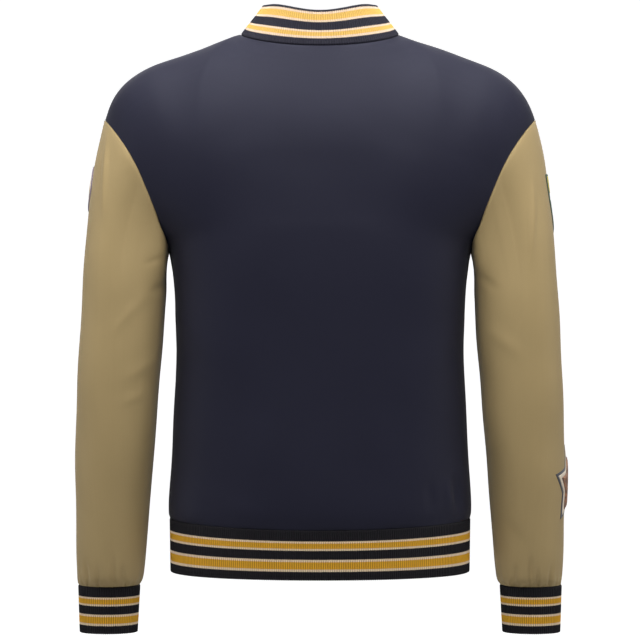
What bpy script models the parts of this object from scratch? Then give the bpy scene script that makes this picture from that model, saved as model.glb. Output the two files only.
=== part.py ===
"""A varsity jacket in its worn, hollow form: satin body and sleeves with rib-knit trims.

It is the outer garment alone, as it stands on a wearer who isn't there. The front faces -Y,
the wearer's left is +X and +Z is up. The origin is where the shoulders hold the jacket:
midway between the two side neck points, level with them.
"""

import math

import bmesh
import bpy
from mathutils import Vector
from mathutils.bvhtree import BVHTree

# ---------------------------------------------------------------- cloth and seams
WALL = 0.0018  # the satin shell and its lining, as one wall
SEAM = 0.0003  # the gap between two pieces where they are sewn
RIB_RISE = 0.0008  # a rib's crest above its valley
RIB_WALL = 0.0014  # rib knit from its plain inside to a valley
RIB_STEP = 0.0003  # a crest stands this much outside the cloth it is sewn to

# ---------------------------------------------------------------- torso
# One row for each level section, from the hem up. A section runs from the centre line round
# to the side seam or, above the underarm, to the armhole seam.
SECTION = (
    "centre_z",  # height at the centre back and centre front
    "edge_z",  # height at the side seam or armhole
    "half_width",  # X at the side seam or armhole
    "back",  # depth of the centre back behind the side plane
    "front",  # depth of the centre front before it
    "back_edge",  # depth of the armhole seam behind the side plane
    "front_edge",  # and before it
    "turn",  # degrees that the cloth has turned from facing back to facing sideways
    "edge_handle",  # how far the turn reaches in from the edge
    "flat",  # how far the flat of back and chest reaches, as a share of the half width
)
SECTIONS = (
    (-0.6200, -0.6140, 0.1905, 0.1235, 0.1205, 0.000, 0.000, 90, 0.0760, 0.60),
    (-0.5960, -0.5920, 0.1910, 0.1275, 0.1240, 0.000, 0.000, 90, 0.0800, 0.60),
    (-0.5350, -0.5350, 0.1884, 0.1270, 0.1230, 0.000, 0.000, 90, 0.0830, 0.60),
    (-0.4600, -0.4640, 0.1850, 0.1255, 0.1225, 0.000, 0.000, 90, 0.0880, 0.61),
    (-0.3800, -0.3900, 0.1826, 0.1270, 0.1255, 0.000, 0.000, 90, 0.0950, 0.63),
    (-0.3080, -0.3280, 0.1842, 0.1300, 0.1305, 0.000, 0.000, 90, 0.1015, 0.665),
    (-0.2560, -0.2800, 0.1915, 0.1312, 0.1325, 0.000, 0.000, 90, 0.1030, 0.69),
    (-0.2370, -0.2640, 0.1935, 0.1308, 0.1318, 0.048, 0.048, 80, 0.0550, 0.65),
    (-0.2170, -0.2400, 0.2005, 0.1300, 0.1305, 0.071, 0.068, 60, 0.0370, 0.62),
    (-0.1920, -0.2130, 0.2105, 0.1286, 0.1275, 0.083, 0.078, 42, 0.0350, 0.60),
    (-0.1600, -0.1860, 0.2215, 0.1258, 0.1225, 0.085, 0.079, 32, 0.0460, 0.60),
)
UNDERARM = 6.0  # the section where side seam ends and armhole begins
YOKE = 10.0  # the last level section: above it the cloth closes over the shoulders
CREST = 14.0  # the shoulder seam and the neckline

# ---------------------------------------------------------------- neck and shoulders
NECK_HALF_WIDTH = 0.1005  # side neck point from the centre line
NECK_AXIS_Y = -0.005
NECK_BACK = 0.075  # centre back neck point behind the neck axis
NECK_FRONT = 0.087  # centre front neck point before it
NECK_BACK_DROP = 0.022
NECK_FRONT_DROP = 0.075
NECK_DROP_POWER = 1.25  # over 1: the neckline dips more sharply towards the centre line
NECK_HEADING = (0.45, 0.65, 0.90)  # how the cloth heads at the neckline: over, towards the neck, up
SHOULDER_TIP = Vector((0.2733, 0.0, -0.1100))  # top of the armhole, where the seam drops off the shoulder
SHOULDER_SLOPE = Vector((0.935, 0.0, -0.355))  # the shoulder's run from the neck
SHOULDER_REACH = 0.112
TIP_SLOPE = Vector((0.258, 0.0, -0.966))  # and its run over the arm
TIP_REACH = 0.069
ROUNDING = 1.15  # how full the yoke is between the level sections and the crest

# ---------------------------------------------------------------- front closure
LAP = 0.0175  # each front passes the centre line by this
LAP_LIFT = 0.0028  # the wearer's left front lies outside the right one by this
LAP_END = 2.1  # the lift has died away at this many laps from the centre line
SNAPS_ON_PLACKET = 6
SNAP_TOP_Z = -0.100
SNAP_LOW_Z = -0.590
SNAP_BAND_Z = -0.650
SNAP_RADIUS = 0.0075
SNAP_HEIGHT = 0.0028
SNAP_SIDES = 14
SNAP_CLEAR = 0.0004  # a cap's underside off the cloth
SNAP_PROFILE = ((0.0, 1.0), (0.75, 0.80), (1.0, 0.25), (0.92, 0.0), (0.0, 0.0))  # radius, height

# ---------------------------------------------------------------- grid of a panel
NECK_COLUMNS = 5  # columns from the centre line to the side neck point
SHOULDER_COLUMNS = 5  # and from there to the armhole
HALF_COLUMNS = NECK_COLUMNS + SHOULDER_COLUMNS
NECK_SHARE = NECK_COLUMNS / HALF_COLUMNS
ARMHOLE_STEPS = 14  # rows of each panel along its half of an armhole
FOLD_SHARE = 0.55  # the share of the armhole, from the underarm, where the cloth folds at its seam
SIDE_LEVELS = (0.0, 0.5, 1.0, 2.0, 3.0, 4.0, 5.0)  # rows below the underarm, counted in sections

# ---------------------------------------------------------------- sleeves
# One row for each level ring below the armhole, from the upper arm down.
RING = ("z", "inner", "outer", "middle_y", "half_depth", "gather")
RINGS = (
    (-0.3340, 0.1955, 0.3008, 0.0000, 0.0740, 0.0),
    (-0.3900, 0.1990, 0.3042, 0.0000, 0.0715, 0.0),
    (-0.4420, 0.2040, 0.3070, -0.0010, 0.0690, 0.0),
    (-0.4930, 0.2080, 0.3100, -0.0030, 0.0665, 0.0),
    (-0.5440, 0.2122, 0.3114, -0.0060, 0.0625, 0.0),
    (-0.5950, 0.2162, 0.3116, -0.0100, 0.0580, 0.0),
    (-0.6460, 0.2204, 0.3114, -0.0150, 0.0530, 0.2),
    (-0.6780, 0.2234, 0.3108, -0.0180, 0.0490, 0.8),
    (-0.6950, 0.2258, 0.3100, -0.0195, 0.0450, 1.0),
    (-0.7045, 0.2300, 0.3088, -0.0205, 0.0350, 0.7),
)
ARM_DROP = Vector((0.5, 0.0, -0.85))  # the way the sleeve leaves the armhole
UNDERARM_DROP = Vector((0.30, 0.0, -0.95))  # and at its lowest point
CAP_ROWS = 6  # rows from the armhole to the first level ring
SLEEVE_COLUMNS = 2 * ARMHOLE_STEPS  # one for each of the panels' rows along the armhole
GATHERS = SLEEVE_COLUMNS // 2  # tucks that take the sleeve in at the cuff
GATHER_DEPTH = 0.0016
CUFF_TOP_Z = -0.7050
CUFF_EDGE = (-0.7618, 0.2335, 0.3072, -0.0230, 0.0310, 0.0)  # the free edge, as a ring
CUFF_RIBS = 82

# ---------------------------------------------------------------- collar and waistband
COLLAR_HEIGHT = 0.0470
COLLAR_LEAN = 15.0  # degrees inwards at the centre back and front
COLLAR_SIDE_LEAN = 20.0  # more at the sides, where it follows the neck
NECK_EASE = 0.30  # the collar's inside starts higher than a true mitre, by this share of its depth
COLLAR_SWELL = 0.11  # more height between the centre back and the sides, as a share
COLLAR_SIDE_DROP = 0.05  # less height at the sides
COLLAR_GAP = 0.0015  # each front end stops short of the centre line by this
COLLAR_CORNER = 0.012  # radius of the two front corners
COLLAR_RIBS = 188
BAND_LOW_Z = -0.6812
BAND_TAPER = 0.0010
BAND_RIBS = 380

# ---------------------------------------------------------------- patches on the sleeves
# One row for each layer. side is 1 for the wearer's left sleeve; z is its middle, inset how far
# its edge lies inside the outline, level how far its underside stands off the sleeve.
PATCH = ("name", "side", "shape", "z", "size", "inset", "level", "thick", "finish")
PATCHES = (
    ("star_base", -1, "star", -0.5730, 0.0520, 0.0000, 0.0009, 0.0008, "navy_felt"),
    ("star_border", -1, "star", -0.5730, 0.0520, 0.0035, 0.0022, 0.0008, "cream_felt"),
    ("star_chenille", -1, "star", -0.5730, 0.0520, 0.0080, 0.0035, 0.0018, "rust_chenille"),
    ("shield_base", -1, "shield", -0.2170, 0.0400, 0.0000, 0.0009, 0.0010, "green_edge"),
    ("shield_chief", -1, "chief", -0.2170, 0.0400, 0.0030, 0.0025, 0.0008, "yellow_thread"),
    ("shield_field", -1, "field", -0.2170, 0.0400, 0.0030, 0.0025, 0.0008, "pale_thread"),
    ("roundel_base", 1, "round", -0.1970, 0.0300, 0.0000, 0.0009, 0.0010, "mauve_edge"),
    ("roundel_field", 1, "round", -0.1970, 0.0300, 0.0030, 0.0024, 0.0008, "cream_felt"),
)
PATCH_ANGLE = -0.06  # radians before the outermost line of the sleeve
PATCH_RINGS = 3
STAR_VALLEY = 0.56  # a valley's distance from the middle, as a share of a point's
ROUND_SIDES = 24
# Right halves of the shield's parts, counter-clockwise as shares of its size; the first and last
# point of each are on its centre line.
SHIELD_HALVES = {
    "shield": ((0.0, -1.0), (0.38, -0.78), (0.68, -0.42), (0.80, 0.0), (0.82, 0.5), (0.84, 0.92), (0.0, 1.0)),
    "chief": ((0.0, 0.28), (0.815, 0.28), (0.82, 0.5), (0.84, 0.92), (0.0, 1.0)),
    "field": ((0.0, -1.0), (0.38, -0.78), (0.68, -0.42), (0.80, 0.0), (0.812, 0.20), (0.0, 0.20)),
}

COLOURS = {  # base colour, roughness, metallic
    "satin": ((0.026, 0.027, 0.040, 1.0), 0.55, 0.0),
    "tan": ((0.360, 0.270, 0.140, 1.0), 0.60, 0.0),
    "rib": ((0.022, 0.021, 0.030, 1.0), 0.85, 0.0),
    "snap": ((0.020, 0.020, 0.026, 1.0), 0.30, 0.2),
    "navy_felt": ((0.020, 0.022, 0.035, 1.0), 0.95, 0.0),
    "cream_felt": ((0.640, 0.540, 0.420, 1.0), 0.95, 0.0),
    "rust_chenille": ((0.270, 0.120, 0.055, 1.0), 0.95, 0.0),
    "green_edge": ((0.030, 0.060, 0.035, 1.0), 0.80, 0.0),
    "yellow_thread": ((0.620, 0.500, 0.080, 1.0), 0.60, 0.0),
    "pale_thread": ((0.620, 0.690, 0.680, 1.0), 0.60, 0.0),
    "mauve_edge": ((0.210, 0.170, 0.210, 1.0), 0.80, 0.0),
}


# ---------------------------------------------------------------- small helpers
def spline(t, a, b, c, d):
    """A smooth curve from b to c that heads for them from a and on to d."""
    return 0.5 * (2 * b + (c - a) * t + (2 * a - 5 * b + 4 * c - d) * t**2 + (3 * b - a - 3 * c + d) * t**3)


def section_at(columns, rows, at):
    """The named values of a table at row number `at`, which needn't be whole."""
    last = len(rows) - 1
    i = min(max(int(at), 0), last - 1)
    near = [rows[min(max(k, 0), last)] for k in (i - 1, i, i + 1, i + 2)]
    return {name: spline(at - i, *(row[c] for row in near)) for c, name in enumerate(columns)}


def bezier(t, a, b, c, d):
    return (1 - t) ** 3 * a + 3 * (1 - t) ** 2 * t * b + 3 * (1 - t) * t**2 * c + t**3 * d


def hermite(t, start, start_run, end, end_run):
    return bezier(t, start, start + start_run / 3, end - end_run / 3, end)


def eased(t):
    t = min(max(t, 0.0), 1.0)
    return t * t * (3 - 2 * t)


def across(a, b):
    return a.cross(b).normalized()


def material(name):
    found = bpy.data.materials.get(name)
    if found:
        return found
    colour, roughness, metallic = COLOURS[name]
    made = bpy.data.materials.new(name)
    made.use_nodes = True
    shader = made.node_tree.nodes["Principled BSDF"]
    shader.inputs["Base Color"].default_value = colour
    shader.inputs["Roughness"].default_value = roughness
    shader.inputs["Metallic"].default_value = metallic
    return made


def new_object(name, mesh, finish, collection):
    made = bpy.data.objects.new(name, mesh)
    collection.objects.link(made)
    if not mesh.materials:
        mesh.materials.append(material(finish))
    return made


# ---------------------------------------------------------------- shape of the torso
def level_point(face, u, s):
    """The outside of the body at section s. face is 1 for the back and -1 for the front, u is 0
    at the centre line and 1 at the side seam or armhole of the +X half."""
    row = section_at(SECTION, SECTIONS, s)
    depth, edge = (row["back"], row["back_edge"]) if face > 0 else (row["front"], row["front_edge"])
    turn = math.radians(row["turn"])
    centre = Vector((0, face * depth, row["centre_z"]))
    side = Vector((row["half_width"], face * edge, row["edge_z"]))
    heading = Vector((math.cos(turn), -face * math.sin(turn), 0))
    flat = Vector((row["flat"] * row["half_width"], 0, 0))
    return bezier(u, centre, centre + flat, side - row["edge_handle"] * heading, side)


def neck_point(face, angle):
    """The neckline, from the centre line (0) to the side neck point (a right angle)."""
    depth, drop = (NECK_BACK, NECK_BACK_DROP) if face > 0 else (NECK_FRONT, NECK_FRONT_DROP)
    level = max(math.cos(angle), 0.0)
    across_neck, along = NECK_HALF_WIDTH * math.sin(angle), NECK_AXIS_Y + face * depth * level
    return Vector((across_neck, along, -drop * level**NECK_DROP_POWER))


def shoulder_point(w):
    """The shoulder seam, from the side neck point (0) to the top of the armhole (1)."""
    start = neck_point(1, math.pi / 2)
    out = start + SHOULDER_REACH * SHOULDER_SLOPE
    return bezier(w, start, out, SHOULDER_TIP - TIP_REACH * TIP_SLOPE, SHOULDER_TIP)


def crest(face, u):
    """The top edge of a panel and the way the cloth runs as it gets there."""
    over = Vector((0, -face, 0))
    run = SHOULDER_SLOPE.normalized()
    if u <= NECK_SHARE:
        angle = math.pi / 2 * u / NECK_SHARE
        rise, side = math.cos(angle), math.sin(angle)
        forwards, sideways, upwards = NECK_HEADING
        forwards += (sideways - forwards) * side
        heading = forwards * over - sideways * side**2 * run + upwards * rise * Vector((0, 0, 1))
        return neck_point(face, angle), heading.normalized()
    w = (u - NECK_SHARE) / (1 - NECK_SHARE)
    return shoulder_point(w), (over - eased(1 - w / 0.6) * run).normalized()


def torso_point(face, u, s):
    """The outside of the body: level sections up to the yoke, then over the shoulder."""
    if s <= YOKE:
        return level_point(face, u, s)
    start = level_point(face, u, YOKE)
    rising = (start - level_point(face, u, YOKE - 0.1)).normalized()
    end, heading = crest(face, u)
    span = ROUNDING * (end - start).length
    return hermite((s - YOKE) / (CREST - YOKE), start, span * rising, end, span * heading)


def torso_normal(face, u, s):
    """Outwards from the +X half of the body."""
    low, high = max(s - 0.05, 0.0), min(s + 0.05, CREST)
    up = torso_point(face, u, high) - torso_point(face, u, low)
    side = torso_point(face, min(u + 0.01, 1.0), s) - torso_point(face, max(u - 0.01, -1.0), s)
    return across(up, side) * face


def place_at_x(face, x, s):
    """The u at which section s is x from the centre line."""
    low, high = 0.0, 0.5
    for _ in range(24):
        mid = (low + high) / 2
        low, high = (mid, high) if torso_point(face, mid, s).x < x else (low, mid)
    return low


def mirrored(v, side=-1):
    return Vector((side * v.x, v.y, v.z))


def armhole_sections():
    """Section numbers at even steps along the armhole seam, with the seam's fine chain."""
    fine = [UNDERARM + (CREST - UNDERARM) * k / 400 for k in range(401)]
    points = [torso_point(1, 1, s) for s in fine]
    run = [0.0]
    for a, b in zip(points, points[1:]):
        run.append(run[-1] + (b - a).length)
    return fine, [r / run[-1] for r in run]


FINE_SECTIONS, FINE_RUN = armhole_sections()


def armhole_section(share):
    """The section number at a share of the armhole seam, from underarm (0) to shoulder (1)."""
    k = 0
    while k < len(FINE_RUN) - 2 and FINE_RUN[k + 1] < share:
        k += 1
    part = (share - FINE_RUN[k]) / (FINE_RUN[k + 1] - FINE_RUN[k])
    return FINE_SECTIONS[k] + min(max(part, 0.0), 1.0) * (FINE_SECTIONS[k + 1] - FINE_SECTIONS[k])


def armhole(face, share):
    """A point of the +X armhole seam, the way the sleeve leaves it, and the mitre in which the
    walls of panel and sleeve meet there."""
    s = armhole_section(share)
    point, normal = torso_point(face, 1, s), torso_normal(face, 1, s)
    if share >= 1:
        normal = across(Vector((0, 1, 0)), TIP_SLOPE)
    along = torso_point(face, 1, min(s + 0.05, CREST)) - torso_point(face, 1, max(s - 0.05, UNDERARM))
    if share < 0.01:
        along = Vector((0, face, 0))
    smooth = (ARM_DROP - ARM_DROP.dot(normal) * normal).normalized()
    leave = smooth.lerp(UNDERARM_DROP.normalized(), eased(1 - share / FOLD_SHARE)).normalized()
    sleeve_out = across(along, leave) * face
    if share >= FOLD_SHARE:
        return point, leave, normal
    return point, leave, (normal + sleeve_out).normalized()


LEVELS = list(SIDE_LEVELS) + [armhole_section(k / ARMHOLE_STEPS) for k in range(ARMHOLE_STEPS + 1)]


# ---------------------------------------------------------------- cloth as closed walls
def wall(name, outer, inner, finish, collection, closed=False):
    """Cloth between two grids of points, one outside and one inside, closed round its rims."""
    shape = bmesh.new()
    grids = [[[shape.verts.new(p) for p in row] for row in grid] for grid in (outer, inner)]
    count = len(outer[0])
    spans = count if closed else count - 1
    for end in (0, -1):
        near, far = grids[0][end], grids[1][end]
        for k in range(spans):
            n = (k + 1) % count
            shape.faces.new((near[k], near[n], far[n], far[k]))
    if not closed:
        for end in (0, -1):
            for r in range(len(outer) - 1):
                low, high = [g[r][end] for g in grids], [g[r + 1][end] for g in grids]
                shape.faces.new((low[0], low[1], high[1], high[0]))
    for grid, turned in zip(grids, (False, True)):
        for low, high in zip(grid, grid[1:]):
            for k in range(spans):
                n = (k + 1) % count
                quad = (low[k], low[n], high[n], high[k])
                shape.faces.new(reversed(quad) if turned else quad)
    bmesh.ops.triangulate(shape, faces=shape.faces)
    bmesh.ops.recalc_face_normals(shape, faces=shape.faces)
    if shape.calc_volume(signed=True) < 0:
        bmesh.ops.reverse_faces(shape, faces=shape.faces)
    mesh = bpy.data.meshes.new(name)
    shape.to_mesh(mesh)
    shape.free()
    return new_object(name, mesh, finish, collection)


def neck_frame(face, u):
    """The neckline's frame on the +X half: the collar's way up, longer where it stands higher,
    its way out, and the mitre where its wall and the panel's meet, one wall's depth long."""
    angle = math.pi / 2 * u / NECK_SHARE
    base = neck_point(face, angle)
    along = neck_point(face, angle + 0.02 * (angle < 0.1)) - neck_point(face, angle - 0.02 * (angle >= 0.1))
    if angle < 0.01:
        along = Vector((1, 0, 0))
    inwards = Vector((-base.x, NECK_AXIS_Y - base.y, 0)).normalized()
    lean = math.radians(COLLAR_LEAN + COLLAR_SIDE_LEAN * inwards.x**4)
    way = math.cos(lean) * Vector((0, 0, 1)) + math.sin(lean) * inwards
    out = across(way, along) * face
    swell = COLLAR_SWELL * math.sin(2 * angle) ** 2 if face > 0 else 0.0
    way *= 1 + swell - COLLAR_SIDE_DROP * math.sin(angle) ** 2
    bisector = (torso_normal(face, u, CREST) + out).normalized()
    return way, out, bisector / max(bisector.dot(out), 0.5)


def panel_grids(face, places, lift=None):
    """Outer and inner points of a panel. places gives, for each section, the u values of its
    columns; negative ones are the -X half. Edges stop half a seam short, and the outer edge of the
    shoulder and neck seams a whole one, where the cloth rolls in."""
    outer, inner = [], []
    for s in LEVELS:
        row, depth = [], []
        for u in places(s):
            half = -1 if u < 0 else 1
            point, normal = torso_point(face, abs(u), s), torso_normal(face, abs(u), s)
            if abs(u) >= 1 and s >= UNDERARM:
                share = (LEVELS.index(s) - len(SIDE_LEVELS)) / ARMHOLE_STEPS
                normal = armhole(face, share)[2]
            if lift:
                point = point + lift(half * point.x) * Vector((normal.x, normal.y, 0)).normalized()
            if s >= CREST and abs(u) <= NECK_SHARE + 1e-6:
                normal = neck_frame(face, abs(u))[2]
            if s >= CREST and NECK_SHARE - 1e-6 <= abs(u) < 1:
                normal = Vector((normal.x, 0, normal.z))
            row.append(mirrored(point, half))
            depth.append(mirrored(normal, half))
        outer.append(row)
        inner.append([p - WALL * n for p, n in zip(row, depth)])
    for grid, short in ((outer, SEAM), (inner, SEAM / 2)):
        grid[-1] = [p + short * (q - p).normalized() for p, q in zip(grid[-1], grid[-2])]
        for row in grid:
            row[-1] = row[-1] + SEAM / 2 * (row[-2] - row[-1]).normalized()
            if face > 0:
                row[0] = row[0] + SEAM / 2 * (row[1] - row[0]).normalized()
    return outer, inner


def back_grids():
    return panel_grids(1, lambda s: [k / HALF_COLUMNS for k in range(-HALF_COLUMNS, HALF_COLUMNS + 1)])


def lap_lift(x):
    """How far the wearer's left front stands outside the right one at x."""
    return LAP_LIFT * eased((LAP_END - x / LAP) / (LAP_END - 1))


def front_places(s):
    """The u values of a front's columns: its free edge, the centre line, then even steps from
    the lap to the side neck point and from there to the side."""
    lap = place_at_x(-1, LAP, s)
    near = [lap + (NECK_SHARE - lap) * k / NECK_COLUMNS for k in range(NECK_COLUMNS + 1)]
    far = [k / HALF_COLUMNS for k in range(NECK_COLUMNS + 1, HALF_COLUMNS + 1)]
    return [-lap, 0.0] + near + far


def front_grids(side):
    """side is 1 for the wearer's left front, which laps over, and -1 for the right."""
    outer, inner = panel_grids(-1, front_places, lap_lift if side > 0 else None)
    return [[[mirrored(p, side) for p in row] for row in grid] for grid in (outer, inner)]


# ---------------------------------------------------------------- sleeves
def ring_point(ring, angle):
    """A point of a level sleeve ring: angle 0 is outermost, a right angle is at the back."""
    half = (ring["outer"] - ring["inner"]) / 2
    middle = (ring["outer"] + ring["inner"]) / 2
    tuck = ring["gather"] * GATHER_DEPTH * (math.cos(GATHERS * angle) - 1) / 2
    across_arm = middle + (half + tuck) * math.cos(angle)
    return Vector((across_arm, ring["middle_y"] + (ring["half_depth"] + tuck) * math.sin(angle), ring["z"]))


def sleeve_point(angle, t):
    """The outside of the +X sleeve. t is 0 at the armhole, 1 at the first level ring and one
    more at each ring below it."""
    if t >= 1:
        return ring_point(section_at(RING, RINGS, t - 1), angle)
    turn = angle % (2 * math.pi)
    face, share = (1, 1 - turn / math.pi) if turn <= math.pi else (-1, turn / math.pi - 1)
    start, leave, _ = armhole(face, share)
    end = ring_point(section_at(RING, RINGS, 0.0), angle)
    run = (ring_point(section_at(RING, RINGS, 0.5), angle) - end).normalized()
    reach = (end - start).length
    return hermite(t, start, reach * leave, end, reach * run)


def sleeve_normal(angle, t):
    end = len(RINGS)
    low, high = max(t - 0.02, 0.0), min(t + 0.02, end)
    down = sleeve_point(angle, high) - sleeve_point(angle, low)
    round_arm = sleeve_point(angle + 0.02, t) - sleeve_point(angle - 0.02, t)
    return across(down, round_arm)


def sleeve_grids():
    """Outer and inner rings of the +X sleeve, from the armhole to the cuff."""
    rows = [j / CAP_ROWS for j in range(CAP_ROWS)] + [float(k) for k in range(1, len(RINGS) + 1)]
    angles = [2 * math.pi * k / SLEEVE_COLUMNS for k in range(SLEEVE_COLUMNS)]
    outer, inner = [], []
    for t in rows:
        row = [sleeve_point(angle, t) for angle in angles]
        if t == 0:
            outs = [armhole(1, 1 - k / ARMHOLE_STEPS)[2] for k in range(ARMHOLE_STEPS + 1)]
            outs += [armhole(-1, k / ARMHOLE_STEPS)[2] for k in range(1, ARMHOLE_STEPS)]
        elif t == len(RINGS):
            outs = [sleeve_normal(angle, t) for angle in angles]
            outs = [Vector((n.x, n.y, 0)).normalized() for n in outs]
        else:
            outs = [sleeve_normal(angle, t) for angle in angles]
        outer.append(row)
        inner.append([p - WALL * n for p, n in zip(row, outs)])
    for grid in (outer, inner):
        grid[0] = [p + SEAM / 2 * (q - p).normalized() for p, q in zip(grid[0], grid[1])]
    return outer, inner


# ---------------------------------------------------------------- rib knit
def rib_wall(name, point, ribs, per_inner, collection, closed):
    """Rib knit as one wall: crests and valleys outside, plain inside, per_inner ribs to a facet.

    point(share, height) gives a place on the cloth's outside, the way out there and the way to
    the wall's inside, share running round the strip and height from its seam to its free edge.
    """
    shape = bmesh.new()
    inner_count = ribs // per_inner
    outside, inside = [], []
    for height in (0.0, 1.0):
        ring = []
        for k in range(2 * ribs + (0 if closed else 1)):
            place, out, depth = point(k / (2 * ribs), height)
            ring.append(shape.verts.new(place + (RIB_STEP - (RIB_RISE if k % 2 else 0)) * out))
        outside.append(ring)
        ring = []
        for k in range(inner_count + (0 if closed else 1)):
            place, out, depth = point(k / inner_count, height)
            ring.append(shape.verts.new(place + RIB_STEP * out + (RIB_RISE + RIB_WALL) * depth))
        inside.append(ring)
    for rings, turned in ((outside, False), (inside, True)):
        for low, high in zip(rings, rings[1:]):
            for k in range(len(low) if closed else len(low) - 1):
                n = (k + 1) % len(low)
                quad = (low[k], low[n], high[n], high[k])
                shape.faces.new(reversed(quad) if turned else quad)
    stride = 2 * per_inner
    for outer, inner in ((outside[0], inside[0]), (outside[-1], inside[-1])):
        for j in range(inner_count):
            n = (j + 1) % len(inner)
            for i in range(stride):
                a, b = outer[j * stride + i], outer[(j * stride + i + 1) % len(outer)]
                shape.faces.new((a, b, inner[j] if i < per_inner else inner[n]))
            shape.faces.new((inner[j], outer[j * stride + per_inner], inner[n]))
    if not closed:
        for end in (0, -1):
            shape.faces.new([ring[end] for ring in outside] + [ring[end] for ring in reversed(inside)])
    bmesh.ops.recalc_face_normals(shape, faces=shape.faces)
    if shape.calc_volume(signed=True) < 0:
        bmesh.ops.reverse_faces(shape, faces=shape.faces)
    mesh = bpy.data.meshes.new(name)
    shape.to_mesh(mesh)
    shape.free()
    return new_object(name, mesh, "rib", collection)


def cuff_ring(height):
    """The cuff's level ring at a share of its height, from the sleeve (0) to its free edge (1)."""
    top = dict(zip(RING, RINGS[-1]), z=CUFF_TOP_Z, gather=0.0)
    low = dict(zip(RING, CUFF_EDGE))
    return {name: top[name] + (low[name] - top[name]) * height for name in RING}


def build_cuff(side, collection):
    def point(share, height):
        angle = 2 * math.pi * share
        ring = cuff_ring(height)
        half = (ring["outer"] - ring["inner"]) / 2
        out = Vector((side * math.cos(angle) / half, math.sin(angle) / ring["half_depth"], 0)).normalized()
        return mirrored(ring_point(ring, angle), side), out, -out

    name = "cuff_left" if side > 0 else "cuff_right"
    return rib_wall(name, point, CUFF_RIBS, 2, collection, closed=True)


class Line:
    """A chain of points, each with its arrows, that can be read at any distance along it."""

    def __init__(self, points, arrows):
        self.rows = [(p, *a) for p, a in zip(points, arrows)]
        self.run = [0.0]
        for a, b in zip(points, points[1:]):
            self.run.append(self.run[-1] + (b - a).length)
        self.length = self.run[-1]

    def at(self, distance):
        k = 0
        while k < len(self.rows) - 2 and self.run[k + 1] < distance:
            k += 1
        share = (distance - self.run[k]) / max(self.run[k + 1] - self.run[k], 1e-9)
        return [a.lerp(b, share) for a, b in zip(self.rows[k], self.rows[k + 1])]


def hem_line():
    """The body's lower edge, from the lap of the left front round the back to the right front."""
    steps = 2 * HALF_COLUMNS
    lap = place_at_x(-1, LAP, 0.0)
    places = [(-1, u) for u in (-lap, 0.0, lap)] + [(-1, k / steps) for k in range(2, steps + 1)]
    places += [(1, k / steps) for k in range(steps - 1, -1, -1)]
    points, arrows = [], []
    for face, u in places:
        half = -1 if u < 0 else 1
        normal = torso_normal(face, abs(u), 0.0)
        points.append(mirrored(torso_point(face, abs(u), 0.0), half))
        arrows.append([mirrored(Vector((normal.x, normal.y, 0)).normalized(), half)])
    points += [mirrored(p) for p in reversed(points[:-1])]
    arrows += [[mirrored(a[0])] for a in reversed(arrows[:-1])]
    return Line(points, arrows)


def build_band(collection):
    line = hem_line()

    def point(share, height):
        place, out = line.at(share * line.length)
        out = out.normalized()
        lift = lap_lift(place.x) if place.y < 0 and share < 0.5 else 0.0
        low = Vector((place.x, place.y, BAND_LOW_Z)) - BAND_TAPER * out
        top = place - SEAM * Vector((0, 0, 1))
        return top.lerp(low, height) + lift * out, out, -out

    return rib_wall("waistband", point, BAND_RIBS, 4, collection, closed=False)


def neck_line():
    """The panels' top edges joined into one chain, from the left front's centre line round the
    back to the right front's. It keeps their facets, so the seam stays even."""
    halves = [k * NECK_SHARE / NECK_COLUMNS for k in range(NECK_COLUMNS + 1)]
    front = front_places(CREST)[1 : 3 + NECK_COLUMNS]
    points, arrows = [], []
    for side in (1, -1):
        top = front_grids(side)[0][-1][1 : 3 + NECK_COLUMNS]
        frames = [[mirrored(a, side) for a in neck_frame(-1, u)] for u in front]
        points.append(top)
        arrows.append(frames)
    back = back_grids()[0][-1]
    points.insert(1, list(reversed(back[HALF_COLUMNS - NECK_COLUMNS : HALF_COLUMNS + NECK_COLUMNS + 1])))
    half_frames = [neck_frame(1, u) for u in halves]
    arrows.insert(1, list(reversed(half_frames)) + [[mirrored(a) for a in f] for f in half_frames[1:]])
    points[2].reverse()
    arrows[2].reverse()
    return Line(sum(points, []), sum(arrows, []))


def build_collar(collection):
    line = neck_line()
    start, end = COLLAR_GAP, line.length - COLLAR_GAP

    def point(share, height):
        distance = start + (end - start) * share
        base, way, out, mitre = line.at(distance)
        from_end = min(distance - start, end - distance)
        cut = 0.0
        if from_end < COLLAR_CORNER:
            cut = COLLAR_CORNER - math.sqrt(COLLAR_CORNER**2 - (COLLAR_CORNER - from_end) ** 2)
        place = base + (1.5 * SEAM + height * (COLLAR_HEIGHT - cut)) * way
        return place, out, -out if height else NECK_EASE * way - mitre

    return rib_wall("collar", point, COLLAR_RIBS, 4, collection, closed=False)


# ---------------------------------------------------------------- snaps
def build_snap(name, place, out, collection):
    """A domed cap, turned from its profile, its flat underside just off the cloth."""
    mesh = bpy.data.meshes.new(name)
    points = [(radius * SNAP_RADIUS, 0.0, height * SNAP_HEIGHT) for radius, height in SNAP_PROFILE]
    mesh.from_pydata(points, [(k, k + 1) for k in range(len(points) - 1)], [])
    cap = new_object(name, mesh, "snap", collection)
    cap.location = place
    cap.rotation_euler = out.to_track_quat("Z", "Y").to_euler()
    turn = cap.modifiers.new("turn", "SCREW")
    turn.steps = turn.render_steps = SNAP_SIDES
    turn.use_merge_vertices = True
    turn.merge_threshold = 0.00001
    return cap


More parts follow.
